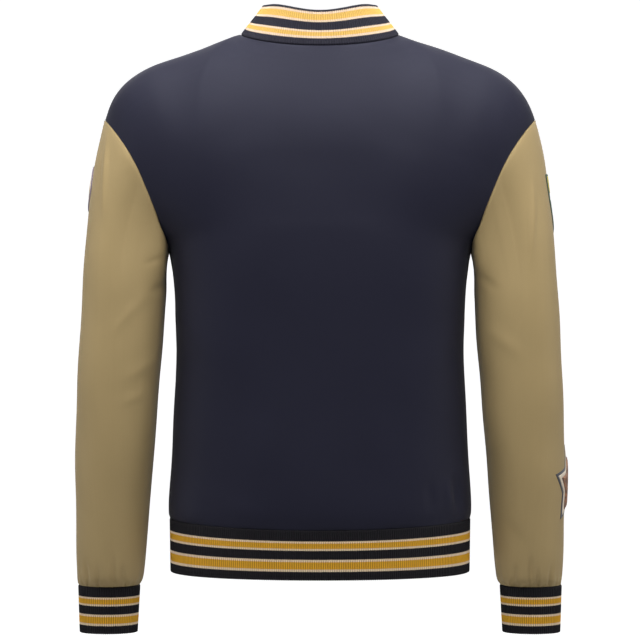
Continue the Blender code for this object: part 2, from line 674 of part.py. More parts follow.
def build_snaps(collection):
    column = [row[1] for row in front_grids(1)[0]]
    for k in range(SNAPS_ON_PLACKET):
        z = SNAP_TOP_Z + (SNAP_LOW_Z - SNAP_TOP_Z) * k / (SNAPS_ON_PLACKET - 1)
        i = 0
        while i < len(column) - 2 and column[i + 1].z < z:
            i += 1
        share = (z - column[i].z) / (column[i + 1].z - column[i].z)
        place = column[i].lerp(column[i + 1], share)
        out = across(Vector((1, 0, 0)), column[i + 1] - column[i])
        build_snap(f"snap_{k + 1}", place + SNAP_CLEAR * out, out, collection)
    band = hem_line().at(LAP)[0]
    place = Vector((0, band.y - LAP_LIFT - RIB_STEP - SNAP_CLEAR, SNAP_BAND_Z))
    build_snap(f"snap_{SNAPS_ON_PLACKET + 1}", place, Vector((0, -1, 0)), collection)


# ---------------------------------------------------------------- patches
def inset_outline(points, inset):
    """A closed outline drawn in by the same distance all round."""
    moved = []
    count = len(points)
    for k, (x, y) in enumerate(points):
        ax, ay = points[k - 1]
        bx, by = points[(k + 1) % count]
        before, after = math.hypot(x - ax, y - ay), math.hypot(bx - x, by - y)
        nx = -(y - ay) / before - (by - y) / after
        ny = (x - ax) / before + (bx - x) / after
        size = math.hypot(nx, ny)
        nx, ny = nx / size, ny / size
        straight = -(y - ay) / before * nx + (x - ax) / before * ny
        moved.append((x + inset * nx / straight, y + inset * ny / straight))
    return moved


def outline(shape, size, inset):
    """The points of a patch's edge, counter-clockwise: x round the arm and y up it. Straight
    edges have a point at their middle too, so that the patch can follow the sleeve."""
    if shape == "round":
        turns = [2 * math.pi * k / ROUND_SIDES for k in range(ROUND_SIDES)]
        return inset_outline([(size * math.cos(a), size * math.sin(a)) for a in turns], inset)
    if shape == "star":
        turns = [(math.pi / 2 + k * math.pi / 5, STAR_VALLEY if k % 2 else 1.0) for k in range(10)]
        corners = [(size * reach * math.cos(a), size * reach * math.sin(a)) for a, reach in turns]
    else:
        half = SHIELD_HALVES[shape]
        corners = [(size * x, size * y) for x, y in half]
        corners += [(-size * x, size * y) for x, y in reversed(half[1:-1])]
    moved = inset_outline(corners, inset)
    points = []
    for k, (x, y) in enumerate(moved):
        bx, by = moved[(k + 1) % len(moved)]
        points += [(x, y), ((x + bx) / 2, (y + by) / 2)]
    return points


def sleeve_place(facets, x, y, z):
    """A place on the +X sleeve x round the arm from its outermost line and at height z + y. It
    never lies below the sleeve's facets, so that nothing sewn on it sinks in."""

    def ring_at(angle):
        low, high = 0.02, len(RINGS) - 0.5
        for _ in range(22):
            mid = (low + high) / 2
            low, high = (mid, high) if sleeve_point(angle, mid).z > z + y else (low, mid)
        return low

    t = ring_at(PATCH_ANGLE)
    span = (sleeve_point(PATCH_ANGLE + 0.05, t) - sleeve_point(PATCH_ANGLE - 0.05, t)).length / 0.1
    angle = PATCH_ANGLE + x / span
    t = ring_at(angle)
    place, out = sleeve_point(angle, t), sleeve_normal(angle, t)
    hit = facets.ray_cast(place + 0.01 * out, -out)[0]
    return place + max((hit - place).dot(out), 0.0) * out, out


def build_patch(row, facets, collection):
    edge = outline(row["shape"], row["size"], row["inset"])
    mid_x = sum(x for x, _ in edge) / len(edge)
    mid_y = sum(y for _, y in edge) / len(edge)
    rings = [[(mid_x, mid_y)]]
    for r in range(1, PATCH_RINGS + 1):
        share = r / PATCH_RINGS
        rings.append([(mid_x + share * (x - mid_x), mid_y + share * (y - mid_y)) for x, y in edge])
    shape = bmesh.new()
    sheets = []
    for level in (row["level"], row["level"] + row["thick"]):
        sheet = []
        for ring in rings:
            placed = [sleeve_place(facets, row["side"] * x, y, row["z"]) for x, y in ring]
            sheet.append([shape.verts.new(mirrored(p + level * n, row["side"])) for p, n in placed])
        sheets.append(sheet)
    count = len(edge)
    for sheet in sheets:
        for k in range(count):
            n = (k + 1) % count
            shape.faces.new((sheet[0][0], sheet[1][k], sheet[1][n]))
            for low, high in zip(sheet[1:], sheet[2:]):
                shape.faces.new((low[k], high[k], high[n], low[n]))
    for k in range(count):
        n = (k + 1) % count
        shape.faces.new((sheets[0][-1][k], sheets[0][-1][n], sheets[1][-1][n], sheets[1][-1][k]))
    bmesh.ops.triangulate(shape, faces=shape.faces)
    bmesh.ops.recalc_face_normals(shape, faces=shape.faces)
    if shape.calc_volume(signed=True) < 0:
        bmesh.ops.reverse_faces(shape, faces=shape.faces)
    mesh = bpy.data.meshes.new(row["name"])
    shape.to_mesh(mesh)
    shape.free()
    return new_object(row["name"], mesh, row["finish"], collection)


# ---------------------------------------------------------------- the jacket
def build_jacket():
    for old in list(bpy.data.objects):
        bpy.data.objects.remove(old)
    jacket = bpy.data.collections.new("varsity_jacket")
    bpy.context.scene.collection.children.link(jacket)
    wall("back", *back_grids(), "satin", jacket)
    wall("front_left", *front_grids(1), "satin", jacket)
    wall("front_right", *front_grids(-1), "satin", jacket)
    grids = sleeve_grids()
    sleeve = wall("sleeve_left", *grids, "tan", jacket, closed=True).data
    facets = BVHTree.FromPolygons([v.co for v in sleeve.vertices], [f.vertices for f in sleeve.polygons])
    other = [[[mirrored(p) for p in row] for row in grid] for grid in grids]
    wall("sleeve_right", *other, "tan", jacket, closed=True)
    build_cuff(1, jacket)
    build_cuff(-1, jacket)
    build_band(jacket)
    build_collar(jacket)
    build_snaps(jacket)
    for row in PATCHES:
        build_patch(dict(zip(PATCH, row)), facets, jacket)


build_jacket()
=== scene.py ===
import math
from functools import partial

import bmesh
import bpy
import numpy as np
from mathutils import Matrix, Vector
from mathutils.bvhtree import BVHTree


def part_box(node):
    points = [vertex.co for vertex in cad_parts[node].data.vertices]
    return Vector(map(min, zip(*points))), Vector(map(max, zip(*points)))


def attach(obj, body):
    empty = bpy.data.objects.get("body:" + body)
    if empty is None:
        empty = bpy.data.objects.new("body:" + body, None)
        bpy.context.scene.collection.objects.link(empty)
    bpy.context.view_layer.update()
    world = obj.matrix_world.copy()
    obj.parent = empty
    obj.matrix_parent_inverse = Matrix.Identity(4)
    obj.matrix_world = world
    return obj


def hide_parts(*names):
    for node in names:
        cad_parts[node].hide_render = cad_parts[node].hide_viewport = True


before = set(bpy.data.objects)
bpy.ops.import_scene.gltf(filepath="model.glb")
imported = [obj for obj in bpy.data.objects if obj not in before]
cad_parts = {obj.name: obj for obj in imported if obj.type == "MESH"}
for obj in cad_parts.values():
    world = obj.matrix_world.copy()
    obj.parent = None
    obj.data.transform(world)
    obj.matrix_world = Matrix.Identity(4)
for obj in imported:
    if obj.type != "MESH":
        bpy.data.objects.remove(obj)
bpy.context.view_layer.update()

# ---------------------------------------------------------------- back
# One panel of smooth navy satin, cut from hem to neckline and out to both armholes. It is sewn to
# the fronts at the shoulders and sides, where its edges turn in, and hangs filled out by a wearer
# who isn't there.
SECTIONS = (
    # centre_z, edge_z, half_width, back, front, back_edge, front_edge, turn, edge_handle, flat
    (-0.6200, -0.6140, 0.1905, 0.1235, 0.1205, 0.000, 0.000, 90, 0.0760, 0.60),
    (-0.5960, -0.5920, 0.1910, 0.1275, 0.1240, 0.000, 0.000, 90, 0.0800, 0.60),
    (-0.5350, -0.5350, 0.1884, 0.1270, 0.1230, 0.000, 0.000, 90, 0.0830, 0.60),
    (-0.4600, -0.4640, 0.1850, 0.1255, 0.1225, 0.000, 0.000, 90, 0.0880, 0.61),
    (-0.3800, -0.3900, 0.1826, 0.1270, 0.1255, 0.000, 0.000, 90, 0.0950, 0.63),
    (-0.3080, -0.3280, 0.1842, 0.1300, 0.1305, 0.000, 0.000, 90, 0.1015, 0.665),
    (-0.2560, -0.2800, 0.1915, 0.1312, 0.1325, 0.000, 0.000, 90, 0.1030, 0.69),
    (-0.2370, -0.2640, 0.1935, 0.1308, 0.1318, 0.048, 0.048, 80, 0.0550, 0.65),
    (-0.2170, -0.2400, 0.2005, 0.1300, 0.1305, 0.071, 0.068, 60, 0.0370, 0.62),
    (-0.1920, -0.2130, 0.2105, 0.1286, 0.1275, 0.083, 0.078, 42, 0.0350, 0.60),
    (-0.1600, -0.1860, 0.2215, 0.1258, 0.1225, 0.085, 0.079, 32, 0.0460, 0.60),
)
UNDERARM, YOKE, CREST = 6.0, 10.0, 14.0  # section numbers: end of the side seam, last level one, top
NECK_HALF_WIDTH = 0.1005
NECK_AXIS_Y = -0.005
NECK_BACK, NECK_BACK_DROP = 0.075, 0.022
NECK_FRONT, NECK_FRONT_DROP = 0.087, 0.075
NECK_DROP_POWER = 1.25
NECK_HEADING = (0.45, 0.65, 0.90)  # how the cloth heads at the neckline: over, to the neck, up
NECK_SHARE = 0.5  # the share of a half panel's top edge that is neckline
SHOULDER_TIP = np.array((0.2733, 0.0, -0.1100))
SHOULDER_SLOPE, SHOULDER_REACH = np.array((0.935, 0.0, -0.355)), 0.112
TIP_SLOPE, TIP_REACH = np.array((0.258, 0.0, -0.966)), 0.069
ROUNDING = 1.15
UP = np.array((0.0, 0.0, 1.0))

MIRROR = np.array((-1, 1, 1))  # from one half of the jacket to the other
SHOULDER_FADE = 0.6  # share of the shoulder seam along which the neckline's heading dies away
NUDGE_S, NUDGE_U, NUDGE_ANGLE = 0.05, 0.01, 0.02  # the small steps over which slopes are measured
COLLAR_LEAN, COLLAR_SIDE_LEAN = 15.0, 20.0  # degrees inwards, at the centre and more at the sides
COLLAR_SWELL, COLLAR_SIDE_DROP = 0.11, 0.01  # shares: higher at the back quarters, lower at the sides

CLOTH = 0.0009  # the satin shell as it shows
TURN_IN = 0.0015  # radius in which an edge turns into its seam
TURN_STEPS = np.array((0.0, 0.0001, 0.0004, 0.0009, 0.0016))  # points laid across that turn
SEAM_PULL, PULL_REACH = 0.0005, 0.006  # the stitches draw the cloth beside them in a little
LEAN_WIDTH = 0.006  # beside a seam, where its own way in takes over from the cloth's
EDGE_FADE = 0.004  # creases and gathers die away this near a seam
ROW_STEP = 0.0042  # between rows of points
BACK_COLUMNS = 118
PANEL_SLACK = 0.0009
SLACK_WAVES, SLACK_LENGTHS = 6, (0.07, 0.20)
HEM_PUCKERS = (0.0009, 0.013, 0.012)  # height, pitch and reach of a seam's gathers
SIDE_PUCKERS = (0.0003, 0.020, 0.008)
DRAPE_PASSES = 60
DRAPE_Z, DRAPE_HEIGHT = -0.245, 0.055  # the level of the underarm's bend, and the drape's spread
DRAPE_START, DRAPE_RUN = 0.05, 0.07  # from the centre line out, where the drape sets in
DRAPE_FADE = 0.008


def vec(x, y, z):
    return np.stack(np.broadcast_arrays(x, y, z), axis=-1).astype(float)


def unit(v):
    return v / np.maximum(np.linalg.norm(v, axis=-1, keepdims=True), 1e-12)


def eased(t):
    t = np.clip(t, 0.0, 1.0)
    return t * t * (3 - 2 * t)


def rows_at(table, at):
    """The columns of a table at row numbers that needn't be whole, read along smooth curves."""
    rows = np.array(table)
    last = len(rows) - 1
    i = np.clip(np.floor(at).astype(int), 0, last - 1)
    t = (at - i)[..., None]
    a, b, c, d = (rows[np.clip(i + k, 0, last)] for k in (-1, 0, 1, 2))
    read = 0.5 * (2 * b + (c - a) * t + (2 * a - 5 * b + 4 * c - d) * t**2 + (3 * b - a - 3 * c + d) * t**3)
    return np.moveaxis(read, -1, 0)


def bezier(t, a, b, c, d):
    t = np.asarray(t)[..., None]
    return (1 - t) ** 3 * a + 3 * (1 - t) ** 2 * t * b + 3 * (1 - t) * t**2 * c + t**3 * d


def hermite(t, start, start_run, end, end_run):
    return bezier(t, start, start + start_run / 3, end - end_run / 3, end)


def level_points(face, u, s):
    """Places on the level sections. face is 1 at the back and -1 at the front, and u runs from
    the centre line (0) to the side seam or armhole (1) of the +X half."""
    centre_z, edge_z, half, back, front, back_edge, front_edge, turn, handle, flat = rows_at(SECTIONS, s)
    depth, edge = (back, back_edge) if face > 0 else (front, front_edge)
    turn = np.radians(turn)
    centre, side = vec(0, face * depth, centre_z), vec(half, face * edge, edge_z)
    heading = vec(np.cos(turn), -face * np.sin(turn), 0)
    return bezier(u, centre, centre + vec(flat * half, 0, 0), side - handle[..., None] * heading, side)


def neck_points(face, angle):
    """The neckline, from the centre line (0) to the side neck point (a right angle)."""
    depth, drop = (NECK_BACK, NECK_BACK_DROP) if face > 0 else (NECK_FRONT, NECK_FRONT_DROP)
    level = np.maximum(np.cos(angle), 0.0)
    x, y = NECK_HALF_WIDTH * np.sin(angle), NECK_AXIS_Y + face * depth * level
    return vec(x, y, -drop * level**NECK_DROP_POWER)


def shoulder_points(w):
    start = neck_points(1, math.pi / 2)
    after, before = start + SHOULDER_REACH * SHOULDER_SLOPE, SHOULDER_TIP - TIP_REACH * TIP_SLOPE
    return bezier(w, start, after, before, SHOULDER_TIP)


def crest(face, u):
    """A panel's top edge and the way the cloth runs as it gets there."""
    over, run = np.array((0.0, -face, 0.0)), unit(SHOULDER_SLOPE)
    angle = math.pi / 2 * np.minimum(u / NECK_SHARE, 1.0)
    rise, side = np.cos(angle)[..., None], np.sin(angle)[..., None]
    forwards, sideways, upwards = NECK_HEADING
    neck_way = (forwards + (sideways - forwards) * side) * over
    neck_way = neck_way - sideways * side**2 * run + upwards * rise * UP
    w = np.clip((u - NECK_SHARE) / (1 - NECK_SHARE), 0.0, 1.0)
    shoulder_way = over - eased(1 - w / SHOULDER_FADE)[..., None] * run
    at_neck = (u <= NECK_SHARE)[..., None]
    place = np.where(at_neck, neck_points(face, angle), shoulder_points(w))
    return place, unit(np.where(at_neck, neck_way, shoulder_way))


def body_points(face, u, s):
    """The outside of the body: level sections up to the yoke, then over the shoulder. A
    negative u is on the -X half."""
    u, s = np.broadcast_arrays(np.asarray(u, float), np.asarray(s, float))
    half = np.abs(u)
    low = level_points(face, half, np.minimum(s, YOKE))
    rising = unit(low - level_points(face, half, np.minimum(s, YOKE) - 0.1))
    end, heading = crest(face, half)
    span = ROUNDING * np.linalg.norm(end - low, axis=-1, keepdims=True)
    over = hermite(np.clip((s - YOKE) / (CREST - YOKE), 0, 1), low, span * rising, end, span * heading)
    place = np.where((s > YOKE)[..., None], over, low)
    return place * vec(np.where(u < 0, -1.0, 1.0), 1.0, 1.0)


def body_normals(face, u, s):
    """Outwards from the +X half of the body."""
    u, s = np.broadcast_arrays(np.asarray(u, float), np.asarray(s, float))
    above, below = np.minimum(s + NUDGE_S, CREST), np.maximum(s - NUDGE_S, 0)
    outer, inner = np.minimum(u + NUDGE_U, 1), np.maximum(u - NUDGE_U, 0)
    up = body_points(face, u, above) - body_points(face, u, below)
    side = body_points(face, outer, s) - body_points(face, inner, s)
    return unit(np.cross(up, side) * face)


def run_along(points, axis):
    """The distance covered from point to point of a grid."""
    steps = np.linalg.norm(np.diff(points, axis=axis), axis=-1)
    return np.insert(np.cumsum(steps, axis=axis), 0, 0.0, axis=axis)


FINE_SECTIONS = np.linspace(UNDERARM, CREST, 401)
FINE_RUN = run_along(body_points(1, 1, FINE_SECTIONS), 0)
ARMHOLE_LENGTH = FINE_RUN[-1]  # of one panel's half of the armhole


def turned(distance):
    """How far in the cloth lies at a distance from its seam."""
    near = np.clip(1 - distance / TURN_IN, 0, 1)
    return TURN_IN * (1 - np.sqrt(1 - near**2)) + SEAM_PULL * np.exp(-distance / PULL_REACH)


def seam_steps(total, count):
    """Distances across a piece of cloth, close together where both its edges turn in."""
    total = np.asarray(total, float)[..., None]
    share = np.linspace(0, 1, count - 2 * len(TURN_STEPS) + 2)[1:-1]
    middle = TURN_STEPS[-1] + (total - 2 * TURN_STEPS[-1]) * share
    return np.concatenate([TURN_STEPS + 0 * total, middle, total - TURN_STEPS[::-1]], axis=-1)


def grid_normals(points, closed=False):
    if closed:
        points = np.concatenate([points[:, -2:-1], points, points[:, 1:2]], axis=1)
    normals = unit(np.cross(np.gradient(points, axis=1), np.gradient(points, axis=0)))
    return normals[:, 1:-1] if closed else normals


def soft_lines(across, up, lines):
    """Soft ridges, and troughs where the height is below 0, along short lines that die away at
    both ends: x1, z1, x2, z2, width, height in each row."""
    total = np.zeros_like(across)
    for x1, z1, x2, z2, width, height in lines:
        run = math.hypot(x2 - x1, z2 - z1)
        along = ((across - x1) * (x2 - x1) + (up - z1) * (z2 - z1)) / run**2
        off = ((across - x1) * (z2 - z1) - (up - z1) * (x2 - x1)) / run
        fade = np.clip(1 - (2 * along - 1) ** 2, 0, None) ** 1.5
        total += height * fade * np.exp(-((off / width) ** 2))
    return total


def slack(across, up, seed, height):
    """The long low swells of cloth that hangs free, in a few waves of unlike length."""
    draw = np.random.default_rng(seed)
    total = np.zeros_like(across)
    for _ in range(SLACK_WAVES):
        way, length, phase = draw.uniform(0, math.pi), draw.uniform(*SLACK_LENGTHS), draw.uniform(0, 6.28)
        total += np.sin((across * math.cos(way) + up * math.sin(way)) * 2 * math.pi / length + phase)
    return height * total / (SLACK_WAVES / 2)


def puckers(along, distance, seed, height, pitch, reach):
    """Small uneven gathers that a seam draws in the cloth beside it."""
    draw = np.random.default_rng(seed)
    count = int(np.ptp(along) / pitch) + 2
    places = along.min() + pitch * (np.arange(count) + draw.uniform(-0.35, 0.35, count))
    total = np.zeros_like(along)
    for place, size, spread in zip(places, draw.uniform(0.3, 1.0, count), draw.uniform(0.5, 1.4, count)):
        lean = place + draw.uniform(-0.25, 0.25) * distance
        gather = size * np.exp(-(((along - lean) / (0.28 * pitch)) ** 2))
        total += gather * np.exp(-distance / (reach * spread))
    return height * total


def new_piece(name, shape):
    """A smooth piece of the scene from a finished shape."""
    mesh = bpy.data.meshes.new(name)
    shape.to_mesh(mesh)
    shape.free()
    mesh.shade_smooth()
    piece = bpy.data.objects.new(name, mesh)
    bpy.context.scene.collection.objects.link(piece)
    return piece


def cloth_piece(name, points, cut, closed=False):
    """A sheet of cloth from a grid of places, rows up and columns round it, with each point's
    place on the cutting table as its UV. A tube's last column lies on its first."""
    shape = bmesh.new()
    rows, columns = points.shape[:2]
    bmesh.ops.create_grid(shape, x_segments=columns - 1, y_segments=rows - 1, size=0.5)
    shape.verts.index_update()
    layer = shape.loops.layers.uv.new("cut")
    flat = cut.reshape(-1, 2)
    for vert, place in zip(shape.verts, points.reshape(-1, 3)):
        vert.co = place
        for loop in vert.link_loops:
            loop[layer].uv = flat[vert.index]
    if closed:
        bmesh.ops.remove_doubles(shape, verts=shape.verts, dist=1e-6)
    return new_piece(name, shape)


def sew_cloth(piece, outside, wrong_side, nodes):
    """Gives a sheet its thickness and finish, sets it on the root body and hides the parts of the model that
    it takes the place of.
    """
    piece.data.materials.append(outside)
    piece.data.materials.append(wrong_side)
    wall = piece.modifiers.new("cloth", "SOLIDIFY")
    wall.thickness = CLOTH
    wall.offset = -1
    wall.material_offset = 1
    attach(piece, "root")
    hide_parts(*nodes)


def neck_frame(face, angle):
    """The neckline's frame on the +X half: the collar's way up, longer where it stands higher,
    its way out, and the mitre where its wall and the panel's meet, one wall's depth long."""
    base = neck_points(face, angle)
    central = angle < 0.1
    ahead, behind = np.where(central, NUDGE_ANGLE, 0.0), np.where(central, 0.0, NUDGE_ANGLE)
    along = neck_points(face, angle + ahead) - neck_points(face, angle - behind)
    along = np.where((angle < 0.01)[..., None], np.array((1.0, 0.0, 0.0)), along)
    inwards = unit(vec(-base[..., 0], NECK_AXIS_Y - base[..., 1], 0))
    lean = np.radians(COLLAR_LEAN + COLLAR_SIDE_LEAN * inwards[..., 0] ** 4)[..., None]
    way = np.cos(lean) * UP + np.sin(lean) * inwards
    out = unit(np.cross(way, along)) * face
    swell = COLLAR_SWELL * np.sin(2 * angle) ** 2 if face > 0 else 0.0
    way = way * (1 + swell - COLLAR_SIDE_DROP * np.sin(angle) ** 2)[..., None]
    bisector = unit(body_normals(face, angle * 2 / math.pi * NECK_SHARE, CREST) + out)
    reach = np.maximum((bisector * out).sum(axis=-1, keepdims=True), 0.5)
    return way, out, bisector / reach


ARM_DROP = np.array((0.5, 0.0, -0.85))  # the way the sleeve leaves the armhole
UNDERARM_DROP = np.array((0.30, 0.0, -0.95))  # and at its lowest point
FOLD_SHARE = 0.55  # of the armhole from the underarm up, where the sleeve leaves in a fold


def armhole(face, share):
    """Places of the +X armhole seam, the way the sleeve leaves it, and the mitre in which the
    walls of panel and sleeve meet. share runs from the underarm (0) to the shoulder (1)."""
    share = np.asarray(share, float)
    s = np.interp(share * ARMHOLE_LENGTH, FINE_RUN, FINE_SECTIONS)
    place, normal = body_points(face, 1, s), body_normals(face, 1, s)
    shoulder = unit(np.cross((0.0, 1.0, 0.0), TIP_SLOPE))
    normal = np.where((share >= 1)[..., None], shoulder, normal)
    above, below = np.minimum(s + NUDGE_S, CREST), np.maximum(s - NUDGE_S, UNDERARM)
    along = body_points(face, 1, above) - body_points(face, 1, below)
    along = np.where((share < 0.01)[..., None], np.array((0.0, face, 0.0)), along)
    smooth = unit(ARM_DROP - (normal @ ARM_DROP)[..., None] * normal)
    fold = eased(1 - share / FOLD_SHARE)[..., None]
    leave = unit(smooth + (unit(UNDERARM_DROP) - smooth) * fold)
    sleeve_out = unit(np.cross(along, leave)) * face
    mitre = np.where((share >= FOLD_SHARE)[..., None], normal, unit(normal + sleeve_out))
    return place, leave, mitre


def panel_rows():
    """Section numbers of a panel's rows from the hem up, one of them at the underarm."""
    fine = np.linspace(0.0, UNDERARM, 241)
    run = run_along(body_points(1, 1, fine), 0)
    below = np.interp(seam_steps(run[-1], round(run[-1] / ROW_STEP))[: -len(TURN_STEPS)], run, fine)
    rows = round(ARMHOLE_LENGTH / ROW_STEP)
    above = seam_steps(ARMHOLE_LENGTH, rows)[len(TURN_STEPS) :]
    above = np.interp(above, FINE_RUN, FINE_SECTIONS)
    return np.concatenate([below, [UNDERARM], above])


def panel(face, start, count, seams, lift=None):
    """Places on a panel from its first column, whose u is given for every row, out to the +X
    side, and its cutting table. seams names the edges that turn in."""
    s = panel_rows()
    fine = np.linspace(0, 1, 161)
    u = start(s)[:, None] + (1 - start(s))[:, None] * fine
    run = run_along(body_points(face, u, s[:, None]), 1)
    wanted = seam_steps(run[:, -1], count)
    u = np.stack([np.interp(w, r, row) for w, r, row in zip(wanted, run, u)])
    points = body_points(face, u, s[:, None])
    if lift:
        normals = body_normals(face, np.abs(u), s[:, None])
        points = points + lift(points[..., 0])[..., None] * unit(normals * (1, 1, 0))
    across, up = run_along(points, 1), run_along(points, 0)
    centre = np.abs(u).argmin(axis=1)
    across = across - across[np.arange(len(s)), centre][:, None]
    normals = grid_normals(points) * (-1 if face > 0 else 1)
    edge_ways = {"left": normals[:, :1], "right": normals[:, -1:], "hem": unit(normals[:1] * (1, 1, 0))}
    share = (np.interp(s, FINE_SECTIONS, FINE_RUN) / ARMHOLE_LENGTH)[:, None]
    mitre = np.where((s >= UNDERARM)[:, None, None], armhole(face, share)[2], edge_ways["right"])
    edge_ways["right"] = mitre
    edge_ways["left"] = mitre * MIRROR if face > 0 else edge_ways["left"]
    angle = math.pi / 2 * np.minimum(np.abs(u[-1:]) / NECK_SHARE, 1)
    neck = unit(neck_frame(face, angle)[2]) * vec(np.where(u[-1:] < 0, -1, 1), 1, 1)
    at_neck = (np.abs(u[-1:]) <= NECK_SHARE)[..., None]
    edge_ways["top"] = np.where(at_neck, neck, unit(normals[-1:] * (1, 0, 1)))
    distances = {
        "left": across - across[:, :1],
        "right": across[:, -1:] - across,
        "hem": up,
        "top": up[-1:] - up,
    }
    moved = points.copy()
    for edge in seams:
        depth = turned(distances[edge])
        lean = np.clip(1 - distances[edge] / LEAN_WIDTH, 0, 1)[..., None]
        way = unit(normals * (1 - lean) + edge_ways[edge] * lean)
        moved = moved - depth[..., None] * way
    return moved, normals, np.stack([across, up], axis=-1), distances


def add(tree, kind, inputs=None, **settings):
    """Adds a node. An input is given a value, or another node's output to be linked to."""
    node = tree.nodes.new(kind)
    for name, value in settings.items():
        setattr(node, name, value)
    for name, value in (inputs or {}).items():
        if isinstance(value, bpy.types.NodeSocket):
            tree.links.new(value, node.inputs[name])
        else:
            node.inputs[name].default_value = value
    return node


def calc(tree, operation, a, b=0.0, c=0.0):
    return add(tree, "ShaderNodeMath", {0: a, 1: b, 2: c}, operation=operation).outputs[0]


def ridges(tree, lines):
    """Rounded ridges side by side, one to each whole number of lines."""
    return calc(tree, "ABSOLUTE", calc(tree, "SINE", calc(tree, "MULTIPLY", lines, math.pi)))


def noise(tree, place, scale, detail):
    node = add(tree, "ShaderNodeTexNoise", {"Vector": place, "Scale": scale, "Detail": detail})
    return node.outputs["Fac"]


def paint(tree, shader, colour, tone):
    """Gives the shader its colour, lighter where the tone is above 1 and darker below."""
    shade = add(tree, "ShaderNodeVectorMath", {0: colour, "Scale": tone}, operation="SCALE")
    tree.links.new(shade.outputs[0], shader["Base Color"])


def emboss(tree, shader, height, strength, distance):
    bump = add(tree, "ShaderNodeBump", {"Height": height, "Strength": strength, "Distance": distance})
    tree.links.new(bump.outputs[0], shader["Normal"])


def new_group(name, inputs, outputs):
    """An empty shader group with its named inputs and outputs, each with its kind of socket."""
    group = bpy.data.node_groups.new(name, "ShaderNodeTree")
    for label, (kind, value) in inputs.items():
        socket = group.interface.new_socket(label, in_out="INPUT", socket_type="NodeSocket" + kind)
        if value is not None:
            socket.default_value = value
    for label, kind in outputs.items():
        group.interface.new_socket(label, in_out="OUTPUT", socket_type="NodeSocket" + kind)
    return group, group.nodes.new("NodeGroupInput").outputs, group.nodes.new("NodeGroupOutput").inputs


def build_weave_group():
    """Satin weave on the cutting table: close warp threads with a weft that shows between them,
    and the faint bands and clouds of a dyed length. Tone is about 1."""
    inputs = {"Place": ("Vector", None), "Threads": ("Float", 2400.0), "Clouds": ("Float", 0.06)}
    group, given, sent = new_group("satin weave", inputs, {"Height": "Float", "Tone": "Float"})
    do = partial(calc, group)
    place = add(group, "ShaderNodeSeparateXYZ", {0: given["Place"]}).outputs
    warp = do("MULTIPLY", place[0], given["Threads"])
    weft = do("MULTIPLY", place[1], do("MULTIPLY", given["Threads"], 0.62))
    step = do("FRACT", do("MULTIPLY_ADD", do("FLOOR", warp), 0.4, do("MULTIPLY", weft, 0.2)))
    bind = do("LESS_THAN", step, 0.16)
    height = do("MULTIPLY", ridges(group, warp), do("MULTIPLY_ADD", bind, -0.6, 1.0))
    group.links.new(height, sent["Height"])
    stretched = add(group, "ShaderNodeMapping", {"Vector": given["Place"], "Scale": (420.0, 3.0, 1.0)})
    bands = noise(group, stretched.outputs[0], 1.0, 2.0)
    both = do("MULTIPLY_ADD", bands, 0.5, noise(group, given["Place"], 9.0, 3.0))
    swing = do("MULTIPLY", do("SUBTRACT", both, 0.75), given["Clouds"])
    group.links.new(do("MULTIPLY_ADD", swing, 2.0, 1.0), sent["Tone"])
    return group


WEAVE = build_weave_group()


def new_finish(name, roughness, **settings):
    """A material with its Principled shader, whose even values are set on its own sockets."""
    material = bpy.data.materials.new(name)
    material.use_nodes = True
    shader = material.node_tree.nodes["Principled BSDF"]
    shader.inputs["Roughness"].default_value = roughness
    for label, value in settings.items():
        shader.inputs[label.replace("_", " ").title().replace("Ior", "IOR")].default_value = value
    return material, material.node_tree, shader.inputs


CLOUDS, THREAD_DEPTH = 0.05, 0.35


def satin(name, colour, roughness, sheen):
    """Woven cloth of one dye."""
    shine = {"sheen_weight": sheen, "sheen_roughness": 0.4, "specular_ior_level": 0.10}
    material, tree, shader = new_finish(name, roughness, **shine)
    place = add(tree, "ShaderNodeUVMap", uv_map="cut").outputs[0]
    weave = add(tree, "ShaderNodeGroup", {"Place": place, "Clouds": CLOUDS}, node_tree=WEAVE).outputs
    paint(tree, shader, colour, weave["Tone"])
    rough = calc(tree, "MULTIPLY_ADD", weave["Height"], -0.10, roughness + 0.05)
    tree.links.new(rough, shader["Roughness"])
    emboss(tree, shader, weave["Height"], THREAD_DEPTH, 0.0001)
    return material


NAVY = (0.0142, 0.0144, 0.0270)
navy_satin = satin("navy satin", NAVY, 0.62, 0.04)
navy_wrong_side = satin("navy satin wrong side", tuple(0.75 * c for c in NAVY), 0.70, 0.05)

BACK_CREASES = (
    # x1, z1, x2, z2, width, height
    (-0.1665, -0.552, -0.1740, -0.610, 0.0042, -0.0034),
    (-0.1580, -0.556, -0.1620, -0.610, 0.0040, 0.0022),
    (-0.1330, -0.556, -0.1390, -0.604, 0.0055, -0.0018),
    (0.150, -0.580, 0.125, -0.610, 0.007, -0.0007),
    (0.120, -0.585, 0.060, -0.610, 0.010, 0.0008),
    (0.182, -0.340, 0.130, -0.420, 0.014, 0.0012),
    (-0.180, -0.350, -0.128, -0.440, 0.014, 0.0012),
    (0.060, -0.110, 0.150, -0.160, 0.018, -0.0008),
    (-0.058, -0.115, -0.145, -0.165, 0.018, -0.0008),
    (0.030, -0.420, 0.080, -0.560, 0.020, 0.0010),
    (-0.045, -0.400, -0.085, -0.570, 0.020, 0.0010),
)


